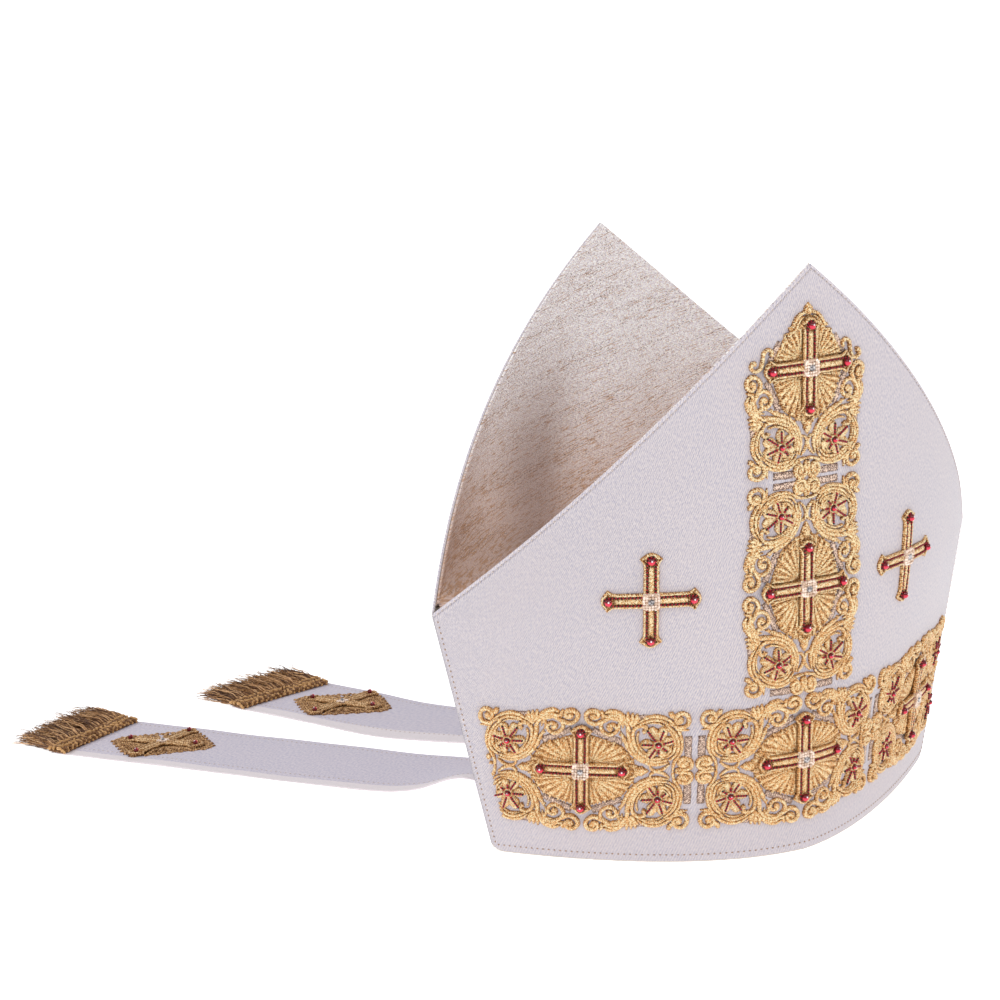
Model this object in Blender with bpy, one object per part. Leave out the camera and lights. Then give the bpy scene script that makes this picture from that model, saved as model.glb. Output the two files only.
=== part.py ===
"""Bishop's mitre standing open on a table, its two lappets laid out behind it.

Metres, +Z up. The mitre's own middle is the middle of its head opening: the front
faces -Y, and the wearer's left is at +X. The finished model is moved so that the
middle of its footprint is at the origin.
"""

import math

import bmesh
import bpy
from mathutils import Matrix, Vector

# Walls: two stiffened cloth panels that meet in a crease at each side.
RIM_HALF_WIDTH = 0.1220
SEAM_HALF_WIDTH = 0.1485
SEAM_HEIGHT = 0.1210
HORN_FLARE = 0.10
WALL = 0.0026
GAP, LAID_GAP = 0.0003, 0.0006
FRONT, BACK = -1, 1
PEAK_HEIGHT = {FRONT: 0.2796, BACK: 0.2745}
PEAK_DEPTH = {FRONT: 0.0942, BACK: 0.0975}
HORN_FULLNESS = {FRONT: 0.22, BACK: 0.16}
RIM_DEPTH = {FRONT: 0.0787, BACK: 0.0771}
BELLY = {FRONT: 0.0044, BACK: 0.0071}
# The bow of each wall, left and right of its middle: the front is flatter on the right.
RIM_POWER = {FRONT: (1.93, 1.48), BACK: (1.87, 1.87)}
HORN_POWER = 2.20
POWER_FROM, POWER_TO = 0.020, 0.160
WALL_COLUMNS, WALL_ROWS = 24, 8

# Lining between the horns.
LINING = 0.0012
LINING_GAP = 0.0005
LINING_REACH, LINING_PULL = 0.95, 0.86
VALLEY_MIDDLE, VALLEY_SIDE = 0.132, 0.126
LINING_COLUMNS, LINING_ROWS = 15, 11

# Embroidered panels: half length, half height, and heights above the cloth.
PANEL_HALF_LENGTH, PANEL_HALF_HEIGHT = 0.0510, 0.0312
PANEL_TOP, LOZENGE_TOP, RING_TOP, ROSETTE_TOP = 0.0014, 0.0022, 0.0020, 0.0025
LOZENGE_HALF_LENGTH, LOZENGE_HALF_HEIGHT = 0.0290, 0.0225
ROSETTE_AT = (0.0355, 0.0138)
RING_RADIUS, RING_HOLE, ROSETTE_RADIUS = 0.0125, 0.0085, 0.0066
OUTLINE_CORNERS = 48
BEND_STEP, BEND_STEP_UP = 0.0129, 0.0260
TWISTED_FROM = 0.0900    # beyond this, on the right, the front bends upwards too
TRIM_AT, TRIM_LEAN = 0.0450, 0.21
# Half the edge of the upper panel's pointed end, from its shoulder to its finial.
GABLE = (
    (0.0045, 0.0295),
    (0.0098, 0.0225),
    (0.0104, 0.0150),
    (0.0164, 0.0130),
    (0.0202, 0.0086),
    (0.0246, 0.0042),
    (0.0260, 0.0026),
    (0.0292, 0.0000),
)

# Crosses: reach to the bead, arm width, and width of the flared end.
BEAD_AT, ARM_REACH, ARM_WIDTH, ARM_END = 0.0191, 0.0222, 0.0070, 0.0094
ARM_THICK, BEAD_RADIUS = 0.0016, 0.0017
SETTING_SIDE, SETTING_THICK = 0.0080, 0.0012
STONE_RADIUS, STONE_THICK = 0.0024, 0.0012

# Places on the front: distance from the centre line along the cloth, and height.
BAND_MIDDLE = 0.0467
BAND_PANELS = (("left", -0.1058, -1), ("centre", -0.0013, 0), ("right", 0.1032, 1))
COLUMN_AT, COLUMN_LOWER_MIDDLE = -0.0016, 0.1303
COLUMN_UPPER_CROSS = COLUMN_LOWER_MIDDLE + 2 * PANEL_HALF_LENGTH + 4 * GAP
FIELD_CROSSES = (("field_left", -0.0749, 0.1312), ("field_right", 0.0650, 0.1314))

# Lappets: width, cloth, height sewn to the back, rise beside the rim, braid and fringe.
LAPPET_WIDTH, LAPPET_CLOTH = 0.0575, 0.0012
LAPPET_TAB = 0.0180
LAPPET_LIFT = 0.0115
LAPPET_ROWS, LAPPET_COLUMNS = 16, 4
BRAID_DEPTH, BRAID_THICK = 0.0100, 0.0028
FRINGE_LENGTH, FRINGE_THICK, FRINGE_TIP, LOCKS = 0.0330, 0.0062, 0.0026, 8
MEDALLION_HALF_LENGTH, MEDALLION_HALF_WIDTH, MEDALLION_THICK = 0.0305, 0.0225, 0.0009
MEDALLION_SKEW = 0.31
LAPPET_ARM_THICK, LAPPET_SETTING_THICK = 0.0008, 0.0007

# Where each lappet is sewn (distance along the back rim), a point it lies over, the
# middle of its end, the way it points there, the slant of that end, the comb of the fringe,
# how much of the rise beside the rim it has, and its medallion's distance from the end and
# from the middle and its turn.
LAPPETS = (
    {
        "side": "left",
        "sewn_at": -0.0600,
        "by": (-0.1200, 0.1355),
        "end": (-0.2250, 0.2715),
        "way": 128.0,
        "slant": -9.5,
        "comb": -14.0,
        "rise": 1.0,
        "medallion": (0.0465, 0.0012, 3.6),
    },
    {
        "side": "right",
        "sewn_at": 0.0180,
        "by": (-0.0705, 0.1980),
        "end": (-0.1117, 0.2818),
        "way": 118.0,
        "slant": -14.5,
        "comb": 0.0,
        "rise": 0.3,
        "medallion": (0.0459, -0.0004, 6.2),
    },
)

COLOURS = {
    "cloth": ((0.72, 0.70, 0.72), 0.75, 0.0),
    "lining": ((0.62, 0.54, 0.47), 0.60, 0.15),
    "gold": ((0.70, 0.45, 0.18), 0.50, 0.55),
    "braid": ((0.42, 0.28, 0.12), 0.60, 0.40),
    "stone": ((0.80, 0.80, 0.82), 0.10, 0.10),
}


# ---- the shape of the walls -------------------------------------------------


def smooth(value, low, high):
    share = min(max((value - low) / (high - low), 0.0), 1.0)
    return share * share * (3 - 2 * share)


def half_width(z):
    """Half the width of the (virtual) whole section at height z."""
    if z < SEAM_HEIGHT:
        return RIM_HALF_WIDTH + (SEAM_HALF_WIDTH - RIM_HALF_WIDTH) * z / SEAM_HEIGHT
    return SEAM_HALF_WIDTH + HORN_FLARE * (z - SEAM_HEIGHT)


def depth_at(x, z, side):
    """Depth of a wall's outer face from the plane of the side seams."""
    share = z / PEAK_HEIGHT[side]
    middle = RIM_DEPTH[side] + (PEAK_DEPTH[side] - RIM_DEPTH[side]) * share
    middle += BELLY[side] * share * (1 - share)
    low_power = RIM_POWER[side][x > 0]
    power = low_power + (HORN_POWER - low_power) * smooth(z, POWER_FROM, POWER_TO)
    return middle * (1 - min(abs(x) / half_width(z), 1.0) ** power)


def wall_point(x, z, side):
    return Vector((x, side * depth_at(x, z, side), z))


def wall_normal(x, z, side, level=False):
    """Outward normal of a wall, or its level part."""
    step = 0.0005
    across = wall_point(x + step, z, side) - wall_point(x - step, z, side)
    up = Vector((0, 0, 1)) if level else wall_point(x, z + step, side) - wall_point(x, z - step, side)
    return (across.cross(up) * -side).normalized()


def horn_height(x, side):
    """Height of a wall's upper edge above the point x."""
    share = 1 - abs(x) / SEAM_HALF_WIDTH
    rise = (PEAK_HEIGHT[side] - SEAM_HEIGHT) * share
    return SEAM_HEIGHT + rise * (1 + HORN_FULLNESS[side] * (1 - share))


def column_top(u, side):
    """The point on the upper edge where the wall's column u ends."""
    z = SEAM_HEIGHT
    for _ in range(12):
        z = horn_height(u * half_width(z), side)
    return u * half_width(z), z


def x_at_arc(arc, z, side):
    """x at a distance along the cloth from the centre line, at height z."""
    steps = 24
    step = arc / steps
    x = 0.0
    for _ in range(steps):
        slope = (depth_at(x + step, z, side) - depth_at(x, z, side)) / step
        x += step / math.sqrt(1 + slope * slope)
    return x


def on_wall(arc, z, lift, side=FRONT):
    """A place on a wall: distance along the cloth, height, and height above the cloth."""
    x = x_at_arc(arc, z, side) if arc else 0.0
    return wall_point(x, z, side) + wall_normal(x, z, side) * lift


# ---- building tools ---------------------------------------------------------


def clear_scene():
    for found in list(bpy.data.objects):
        bpy.data.objects.remove(found)


def material(name):
    found = bpy.data.materials.get(name)
    if found:
        return found
    colour, roughness, metallic = COLOURS[name]
    made = bpy.data.materials.new(name)
    made.use_nodes = True
    shader = made.node_tree.nodes["Principled BSDF"]
    shader.inputs["Base Color"].default_value = (*colour, 1)
    shader.inputs["Roughness"].default_value = roughness
    shader.inputs["Metallic"].default_value = metallic
    return made


def object_from(name, shape, finish, root):
    """Turns a bmesh into a named object with its own material."""
    if shape.calc_volume(signed=True) < 0:
        bmesh.ops.reverse_faces(shape, faces=shape.faces)
    mesh = bpy.data.meshes.new(name)
    shape.to_mesh(mesh)
    shape.free()
    made = bpy.data.objects.new(name, mesh)
    bpy.context.scene.collection.objects.link(made)
    mesh.materials.append(material(finish))
    mesh.shade_smooth()
    mesh.set_sharp_from_angle(angle=math.radians(35))
    made.parent = root
    return made


def sheet_between(outer, inner):
    """A closed wall between two grids of points with the same rows and columns."""
    shape = bmesh.new()
    rows, columns = len(outer), len(outer[0])
    sides = [[[shape.verts.new(point) for point in row] for row in grid] for grid in (outer, inner)]
    for r in range(rows - 1):
        for c in range(columns - 1):
            for grid, turn in zip(sides, (1, -1)):
                corners = (grid[r][c], grid[r][c + 1], grid[r + 1][c + 1], grid[r + 1][c])
                shape.faces.new(corners[::turn])
    border = [(0, c) for c in range(columns)]
    border += [(r, columns - 1) for r in range(1, rows)]
    border += [(rows - 1, c) for c in range(columns - 2, -1, -1)]
    border += [(r, 0) for r in range(rows - 2, 0, -1)]
    for (r0, c0), (r1, c1) in zip(border, border[1:] + border[:1]):
        first, second = sides
        shape.faces.new((first[r1][c1], first[r0][c0], second[r0][c0], second[r1][c1]))
    return shape


def thickened(grid, thickness):
    """The grid moved along its own normals."""
    rows, columns = len(grid), len(grid[0])
    moved = []
    for r in range(rows):
        line = []
        for c in range(columns):
            down = grid[min(r + 1, rows - 1)][c] - grid[max(r - 1, 0)][c]
            over = grid[r][min(c + 1, columns - 1)] - grid[r][max(c - 1, 0)]
            line.append(grid[r][c] + over.cross(down).normalized() * thickness)
        moved.append(line)
    return moved


def prism(outline, low, high):
    """A flat outline given a thickness."""
    shape = bmesh.new()
    bottom = [shape.verts.new((x, y, low)) for x, y in outline]
    top = [shape.verts.new((x, y, high)) for x, y in outline]
    shape.faces.new(bottom[::-1])
    shape.faces.new(top)
    count = len(outline)
    for i in range(count):
        j = (i + 1) % count
        shape.faces.new((bottom[i], bottom[j], top[j], top[i]))
    return shape


def circle(x, y, radius, sides, turn=0.0):
    ways = [turn + math.tau * i / sides for i in range(sides)]
    return [(x + radius * math.cos(way), y + radius * math.sin(way)) for way in ways]


def fused(shapes, cutters=()):
    """One mesh from overlapping shapes, with the cutters taken out."""
    made = []
    for shape in (*shapes, *cutters):
        mesh = bpy.data.meshes.new("form")
        shape.to_mesh(mesh)
        shape.free()
        piece = bpy.data.objects.new("form", mesh)
        bpy.context.scene.collection.objects.link(piece)
        made.append(piece)
    body = made[0]
    for number, piece in enumerate(made[1:], 1):
        joint = body.modifiers.new("join", "BOOLEAN")
        joint.operation = "UNION" if number < len(shapes) else "DIFFERENCE"
        joint.object = piece
    bpy.context.view_layer.update()
    result = bmesh.new()
    result.from_object(body, bpy.context.evaluated_depsgraph_get())
    for piece in made:
        bpy.data.objects.remove(piece)
    return result


def cut_to_bend(shape, upwards):
    """Cuts a flat shape along lines, so that it can follow a bowed wall."""
    cuts = [(BEND_STEP, Vector((1, 0, 0)))]
    if upwards:
        cuts.append((BEND_STEP_UP, Vector((0, 1, 0))))
    for step, way in cuts:
        count = math.ceil(PANEL_HALF_LENGTH / step)
        for i in range(-count, count + 1):
            everything = shape.verts[:] + shape.edges[:] + shape.faces[:]
            bmesh.ops.bisect_plane(shape, geom=everything, plane_co=way * i * step, plane_no=way)


def laid_on_front(shape, arc, z, lift=0.0, quarter_turn=False):
    """Bends a flat shape on to the front: its X runs along the cloth, its Y up."""
    if quarter_turn:
        bmesh.ops.rotate(shape, verts=shape.verts, matrix=Matrix.Rotation(math.pi / 2, 3, "Z"))
    cut_to_bend(shape, upwards=quarter_turn or arc > TWISTED_FROM)
    for vert in shape.verts:
        across, up, height = vert.co
        vert.co = on_wall(arc + across, z + up, lift + height)
    return shape


# ---- walls and lining -------------------------------------------------------


def wall(name, side, root):
    outer, inner = [], []
    for row in range(WALL_ROWS + 1):
        outer_line, inner_line = [], []
        for column in range(WALL_COLUMNS + 1):
            u = 2 * column / WALL_COLUMNS - 1
            z = column_top(u, side)[1] * row / WALL_ROWS
            x = u * half_width(z)
            place = wall_point(x, z, side)
            place.y += side * GAP / 2
            normal = wall_normal(x, z, side, level=True)
            outer_line.append(place)
            if abs(u) == 1:
                inside = wall_normal(x * 0.995, z, side, level=True)
                inner_line.append(place - Vector((WALL / inside.x, 0, 0)))
            else:
                inner_line.append(place - normal * WALL)
        outer.append(outer_line)
        inner.append(inner_line)
    return object_from(name, sheet_between(outer, inner), "cloth", root)


def lining_edge(u, side):
    """Where the lining is sewn behind the upper edge of a horn."""
    x, z = column_top(u, side)
    z -= WALL / 2
    inset = WALL + LINING_GAP
    return wall_point(x, z, side) - wall_normal(x, z, side, level=True) * inset


def crown_gusset(root):
    grid = []
    for row in range(LINING_ROWS + 1):
        share = row / LINING_ROWS
        line = []
        for column in range(LINING_COLUMNS + 1):
            u = LINING_REACH * (2 * column / LINING_COLUMNS - 1)
            start, end = lining_edge(u, FRONT), lining_edge(u, BACK)
            bottom = VALLEY_MIDDLE + (VALLEY_SIDE - VALLEY_MIDDLE) * abs(u)
            weights = [(1 - share) ** 3, 3 * (1 - share) ** 2 * share, 3 * (1 - share) * share**2, share**3]
            pulls = [start, start.copy(), end.copy(), end]
            for pull, edge in ((pulls[1], start), (pulls[2], end)):
                pull.z = (bottom - (start.z + end.z) / 8) * 4 / 3
                pull.y = edge.y * LINING_PULL
            line.append(sum((w * p for w, p in zip(weights, pulls)), Vector()))
        grid.append(line)
    return object_from("crown_gusset", sheet_between(grid, thickened(grid, LINING)), "lining", root)


# ---- embroidery -------------------------------------------------------------


def panel_outline(gabled):
    """Scalloped edge of a panel: the furthest of its parts in each direction."""
    long_side, short_side = PANEL_HALF_LENGTH - 0.0030, PANEL_HALF_HEIGHT - 0.0030
    lobes = []
    for sx in (-1, 1):
        for sy in (-1, 1):
            lobes += [(sx * 0.0460, sy * 0.0264, 0.0046), (sx * 0.0477, sy * 0.0034, 0.0033)]
            lobes += [(sx * at, sy * 0.0274, 0.0038) for at in (0.0036, 0.0125, 0.0250)]
    outline = []
    for i in range(OUTLINE_CORNERS):
        way = math.tau * i / OUTLINE_CORNERS
        dx, dy = math.cos(way), math.sin(way)
        reach = min(long_side / max(abs(dx), 1e-9), short_side / max(abs(dy), 1e-9))
        for x, y, radius in lobes:
            along = x * dx + y * dy
            off = abs(x * dy - y * dx)
            if along > 0 and off < radius:
                reach = max(reach, along + math.sqrt(radius * radius - off * off))
        outline.append((reach * dx, reach * dy))
    if gabled:
        outline = [(x, y) for x, y in outline if x < GABLE[0][0] - 0.0010]
        outline += [(x, -y) for x, y in GABLE] + list(GABLE[-2::-1])
    return outline


def lozenge(half_length, half_height, low, high):
    """Long hexagon with full sides."""
    points = ((1, 0), (0.62, 0.52), (0.16, 1), (-0.16, 1), (-0.62, 0.52), (-1, 0))
    upper = [(x * half_length, y * half_height) for x, y in points]
    lower = [(x, -y) for x, y in upper[-2:0:-1]]
    return prism(upper + lower, low, high)


def panel_form(gabled=False, trimmed=0):
    """One embroidered panel, flat: plate, lozenge, roundels and rosettes.

    A trimmed panel is cut along the slant of the side seam, on its left (-1) or right (1).
    """
    shapes = [prism(panel_outline(gabled), LAID_GAP, PANEL_TOP)]
    buried = (LAID_GAP + PANEL_TOP) / 2
    shapes.append(lozenge(LOZENGE_HALF_LENGTH, LOZENGE_HALF_HEIGHT, buried, LOZENGE_TOP))
    cutters = []
    for sx in (-1,) if gabled else (-1, 1):
        for sy in (-1, 1):
            x, y = sx * ROSETTE_AT[0], sy * ROSETTE_AT[1]
            shapes.append(prism(circle(x, y, RING_RADIUS, 10), buried, RING_TOP))
            cutters.append(prism(circle(x, y, RING_HOLE, 8), PANEL_TOP, 2 * RING_TOP))
    for sx in (-1, 1):
        for sy in (-1, 1):
            gap = [(0.0080, 0.0238), (0.0190, 0.0165), (0.0205, 0.0205)]
            if not (gabled and sx > 0):
                outline = [(sx * x, sy * y) for x, y in gap][:: sx * sy]
                cutters.append(prism(outline, -PANEL_TOP, 2 * PANEL_TOP))
    panel = fused(shapes, cutters)
    blooms = [panel]
    for sx in (-1,) if gabled else (-1, 1):
        for sy in (-1, 1):
            x, y = sx * ROSETTE_AT[0], sy * ROSETTE_AT[1]
            petals = []
            for i in range(10):
                radius = ROSETTE_RADIUS if i % 2 else ROSETTE_RADIUS * 0.74
                way = math.tau * i / 10
                petals.append((x + radius * math.cos(way), y + radius * math.sin(way)))
            blooms.append(prism(petals, buried, ROSETTE_TOP))
    if not trimmed:
        return fused(blooms)
    high, far = 2 * PANEL_HALF_HEIGHT, 2 * PANEL_HALF_LENGTH
    edge = [(TRIM_AT + TRIM_LEAN * y, y) for y in (-high, high)]
    beyond = [edge[0], (far, -high), (far, high), edge[1]]
    offcut = prism([(trimmed * x, y) for x, y in beyond][::trimmed], -ROSETTE_TOP, 2 * ROSETTE_TOP)
    return fused(blooms, [offcut])


def cross_form(low, thickness):
    """A flat cross with flared ends and a bead at each end, its underside at a given height."""
    arm, end = ARM_WIDTH / 2, ARM_END / 2
    quarter = [(arm, arm), (arm, ARM_REACH - 0.0060), (end, ARM_REACH)]
    quarter += [(-x, y) for x, y in quarter[:0:-1]]
    outline = []
    for turn in range(4):
        way = turn * math.pi / 2
        cosine, sine = round(math.cos(way)), round(math.sin(way))
        outline += [(x * cosine - y * sine, x * sine + y * cosine) for x, y in quarter]
    top = low + thickness
    shapes = [prism(outline, low, top)]
    for turn in range(4):
        way = turn * math.pi / 2
        x, y = BEAD_AT * math.cos(way), BEAD_AT * math.sin(way)
        bead = bmesh.new()
        place = Matrix.Translation((x, y, top + BEAD_RADIUS * 0.45))
        bmesh.ops.create_uvsphere(bead, u_segments=10, v_segments=3, radius=BEAD_RADIUS, matrix=place)
        shapes.append(bead)
    return fused(shapes)


def setting_form(low, thickness):
    """Square setting with a cut stone: eight facets round a table."""
    half = SETTING_SIDE / 2
    top = low + thickness
    plate = prism([(half, half), (-half, half), (-half, -half), (half, -half)], low, top)
    stone = bmesh.new()
    rings = ((STONE_RADIUS, top - thickness / 2), (STONE_RADIUS, top + STONE_THICK * 0.3))
    rings += ((STONE_RADIUS * 0.58, top + STONE_THICK),)
    levels = [[stone.verts.new((x, y, z)) for x, y in circle(0, 0, r, 8)] for r, z in rings]
    stone.faces.new(levels[0][::-1])
    stone.faces.new(levels[-1])
    for lower, upper in zip(levels, levels[1:]):
        for i in range(8):
            stone.faces.new((lower[i], lower[(i + 1) % 8], upper[(i + 1) % 8], upper[i]))
    return fused([plate, stone])


def cross_with_setting(name, arc, z, low, root):
    """A cross on the front, and the setting on it."""
    flat = cross_form(low, ARM_THICK)
    object_from(f"cross_{name}", laid_on_front(flat, arc, z), "gold", root)
    flat = setting_form(low + ARM_THICK + GAP, SETTING_THICK)
    object_from(f"setting_{name}", laid_on_front(flat, arc, z), "stone", root)


def front_embroidery(root):
    on_panel = LOZENGE_TOP + GAP
    for name, arc, trimmed in BAND_PANELS:
        form = laid_on_front(panel_form(trimmed=trimmed), arc, BAND_MIDDLE)
        object_from(f"band_panel_{name}", form, "gold", root)
        cross_with_setting(f"band_{name}", arc, BAND_MIDDLE, on_panel, root)
    lower = laid_on_front(panel_form(), COLUMN_AT, COLUMN_LOWER_MIDDLE, quarter_turn=True)
    object_from("column_panel_lower", lower, "gold", root)
    cross_with_setting("column_lower", COLUMN_AT, COLUMN_LOWER_MIDDLE, on_panel, root)
    upper = laid_on_front(panel_form(gabled=True), COLUMN_AT, COLUMN_UPPER_CROSS, quarter_turn=True)
    object_from("column_panel_upper", upper, "gold", root)
    cross_with_setting("column_upper", COLUMN_AT, COLUMN_UPPER_CROSS, on_panel, root)
    for name, arc, z in FIELD_CROSSES:
        cross_with_setting(name, arc, z, LAID_GAP, root)


# ---- lappets ----------------------------------------------------------------


def curve_through(points, count):
    """Even steps along a smooth curve through a few points."""
    ends = [points[0] * 2 - points[1], *points, points[-1] * 2 - points[-2]]
    fine = []
    for a, b, c, d in zip(ends, ends[1:], ends[2:], ends[3:]):
        for i in range(24):
            t = i / 24
            bend = (a * 2 - b * 5 + c * 4 - d) * t**2 + (b * 3 - a - c * 3 + d) * t**3
            fine.append(b + ((c - a) * t + bend) / 2)
    fine.append(points[-1])
    lengths = [0.0]
    for a, b in zip(fine, fine[1:]):
        lengths.append(lengths[-1] + (b - a).length)
    even, at = [], 0
    for i in range(count + 1):
        want = lengths[-1] * i / count
        while at < len(fine) - 2 and lengths[at + 1] < want:
            at += 1
        share = (want - lengths[at]) / (lengths[at + 1] - lengths[at])
        even.append(fine[at].lerp(fine[at + 1], min(share, 1.0)))
    return even


def lappet_line(lappet, across):
    """One thread of a lappet from the back rim to the fringe, across its width by a share."""
    lift = GAP + LAPPET_CLOTH
    offset = across * LAPPET_WIDTH
    near_side = 0.5 + across
    on_rim = [on_wall(lappet["sewn_at"] - offset, z, lift, BACK) for z in (LAPPET_TAB, LAPPET_TAB * 0.72)]
    low_end = LAPPET_TAB * (0.30 + 0.25 * near_side * lappet["rise"])
    foot = on_wall(lappet["sewn_at"] - offset, low_end, lift + 0.0085, BACK)
    way = math.radians(lappet["way"])
    along = Vector((math.cos(way), math.sin(way), 0))
    over = Vector((along.y, -along.x, 0))
    by = Vector((*lappet["by"], LAPPET_CLOTH)) - over * offset
    slant = math.tan(math.radians(lappet["slant"]))
    end = Vector((*lappet["end"], LAPPET_CLOTH)) - (over + along * slant) * offset
    points = [*on_rim, foot]
    for share, part_of_rise in ((0.30, 1.0), (0.62, 0.2)):
        point = foot.lerp(by, share)
        point.z = LAPPET_CLOTH + LAPPET_LIFT * part_of_rise * near_side * lappet["rise"]
        points.append(point)
    return curve_through([*points, by, by.lerp(end, 0.5), end], LAPPET_ROWS)


def lappet_cloth(lappet, root):
    lines = [lappet_line(lappet, c / LAPPET_COLUMNS - 0.5) for c in range(LAPPET_COLUMNS + 1)]
    upper = [list(row) for row in zip(*lines)]
    lower = thickened(upper, LAPPET_CLOTH)
    for row_above, row in zip(upper, lower):
        for above, point in zip(row_above, row):
            point.z = max(point.z, 0.0)
            if above.z - LAPPET_CLOTH < 1e-6:
                point.z = 0.0
    return object_from(f"lappet_{lappet['side']}", sheet_between(upper, lower), "cloth", root)


def laid_at_end(shape, lappet, back, aside, name, finish, root, slant=0.0):
    """Places a flat shape on a lappet, back from its end and off its middle: X along the lappet."""
    way = math.radians(lappet["way"])
    made = object_from(name, shape, finish, root)
    end = Vector((*lappet["end"], 0))
    along = Vector((math.cos(way), math.sin(way), 0))
    made.location = end - along * back - Vector((along.y, -along.x, 0)) * aside
    made.rotation_euler.z = way + slant
    return made


def fringe_form(seed_turn, comb):
    """Braid head with the fringe fused to its outer edge: locks side by side, combed to one side."""
    half = LAPPET_WIDTH / 2 + 0.0010
    low, top, overhang = LAPPET_CLOTH + GAP, LAPPET_CLOTH + GAP + BRAID_THICK, 0.0020
    head = ((overhang - BRAID_DEPTH, low, top), (overhang, low, top))
    strands = ((0.24, 0.0006, FRINGE_THICK), (0.62, 0.0, FRINGE_THICK * 0.84), (1.0, 0.0, FRINGE_TIP))
    upper, lower = [], []
    columns = 2 * LOCKS
    for x, under, over in head:
        ys = [half * (2 * c / columns - 1) for c in range(columns + 1)]
        upper.append([Vector((x, y, over)) for y in ys])
        lower.append([Vector((x, y, under)) for y in ys])
    for share, under, over in strands:
        upper_line, lower_line = [], []
        for c in range(columns + 1):
            middle_of_lock = c % 2
            phase = seed_turn + c * 1.2
            reach = FRINGE_LENGTH * (0.96 + 0.06 * math.sin(phase)) * (1 if middle_of_lock else 0.90)
            x = reach * share
            y = half * (2 * c / columns - 1) * (1 - 0.08 * share)
            y += x * math.tan(math.radians(comb)) + 0.0012 * share * math.sin(phase * 1.3)
            height = over if middle_of_lock else under + (over - under) * 0.72
            upper_line.append(Vector((x, y, height)))
            lower_line.append(Vector((x, y, under)))
        upper.append(upper_line)
        lower.append(lower_line)
    return sheet_between(upper, lower)


def medallion_form(low):
    middle = low + MEDALLION_THICK / 2
    plate = lozenge(MEDALLION_HALF_LENGTH, MEDALLION_HALF_WIDTH, low, middle)
    half_length, half_width = MEDALLION_HALF_LENGTH * 0.82, MEDALLION_HALF_WIDTH * 0.82
    raised = lozenge(half_length, half_width, (low + middle) / 2, low + MEDALLION_THICK)
    return fused([plate, raised])


def lappet(row, root):
    side = row["side"]
    lappet_cloth(row, root)
    slant = math.radians(row["slant"])
    laid_at_end(fringe_form(len(side), row["comb"]), row, 0.0, 0.0, f"fringe_{side}", "braid", root, slant)
    low = LAPPET_CLOTH + GAP
    forms = [("medallion", medallion_form(low), "gold")]
    low += MEDALLION_THICK + GAP
    forms.append(("cross_lappet", cross_form(low, LAPPET_ARM_THICK), "gold"))
    low += LAPPET_ARM_THICK + GAP
    forms.append(("setting_lappet", setting_form(low, LAPPET_SETTING_THICK), "stone"))
    back, aside, turn = row["medallion"]
    for name, form, finish in forms:
        for vert in form.verts:
            vert.co.x += MEDALLION_SKEW * vert.co.y
        laid_at_end(form, row, back, aside, f"{name}_{side}", finish, root, math.radians(turn))


def centre_on_ground(root):
    """Moves everything so that the middle of its footprint is at the origin."""
    bpy.context.view_layer.update()
    pieces = [made for made in bpy.data.objects if made.type == "MESH"]
    corners = [piece.matrix_world @ vert.co for piece in pieces for vert in piece.data.vertices]
    for axis in (0, 1):
        values = [corner[axis] for corner in corners]
        root.location[axis] = -(min(values) + max(values)) / 2


def build():
    clear_scene()
    root = bpy.data.objects.new("mitre", None)
    bpy.context.scene.collection.objects.link(root)
    wall("front_panel", FRONT, root)
    wall("back_panel", BACK, root)
    crown_gusset(root)
    front_embroidery(root)
    for row in LAPPETS:
        lappet(row, root)
    centre_on_ground(root)


build()
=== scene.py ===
import math

import bmesh
import bpy
import numpy as np
from mathutils import Matrix, Vector


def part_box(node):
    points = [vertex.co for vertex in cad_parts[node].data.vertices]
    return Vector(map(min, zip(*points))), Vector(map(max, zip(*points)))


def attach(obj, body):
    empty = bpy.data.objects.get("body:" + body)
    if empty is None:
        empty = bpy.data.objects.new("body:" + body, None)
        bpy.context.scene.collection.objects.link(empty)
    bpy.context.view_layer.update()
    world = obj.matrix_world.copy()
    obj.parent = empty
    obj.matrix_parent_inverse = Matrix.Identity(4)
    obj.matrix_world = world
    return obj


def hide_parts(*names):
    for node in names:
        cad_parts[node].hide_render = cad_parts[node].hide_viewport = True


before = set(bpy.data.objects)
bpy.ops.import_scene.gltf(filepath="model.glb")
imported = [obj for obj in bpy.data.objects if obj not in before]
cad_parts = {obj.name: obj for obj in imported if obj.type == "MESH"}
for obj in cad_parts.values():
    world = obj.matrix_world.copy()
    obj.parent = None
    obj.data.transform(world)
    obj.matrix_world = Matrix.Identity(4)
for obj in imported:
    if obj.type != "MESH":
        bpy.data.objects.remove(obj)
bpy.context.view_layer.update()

# ---- The view, the table and the light ------------------------------------------
# The mitre stands on a plain white table in a soft, even studio light. The camera stands
# in front of it and to its left, a little above the crosses, with a long lens.

# Front and back meet at the sides with twice this gap. MITRE is the middle of the head opening.
HALF_GAP = 0.00015
front_low, front_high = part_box("front_panel")
MITRE = np.array([(front_low[0] + front_high[0]) / 2, front_high[1] + HALF_GAP, 0.0])

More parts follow.
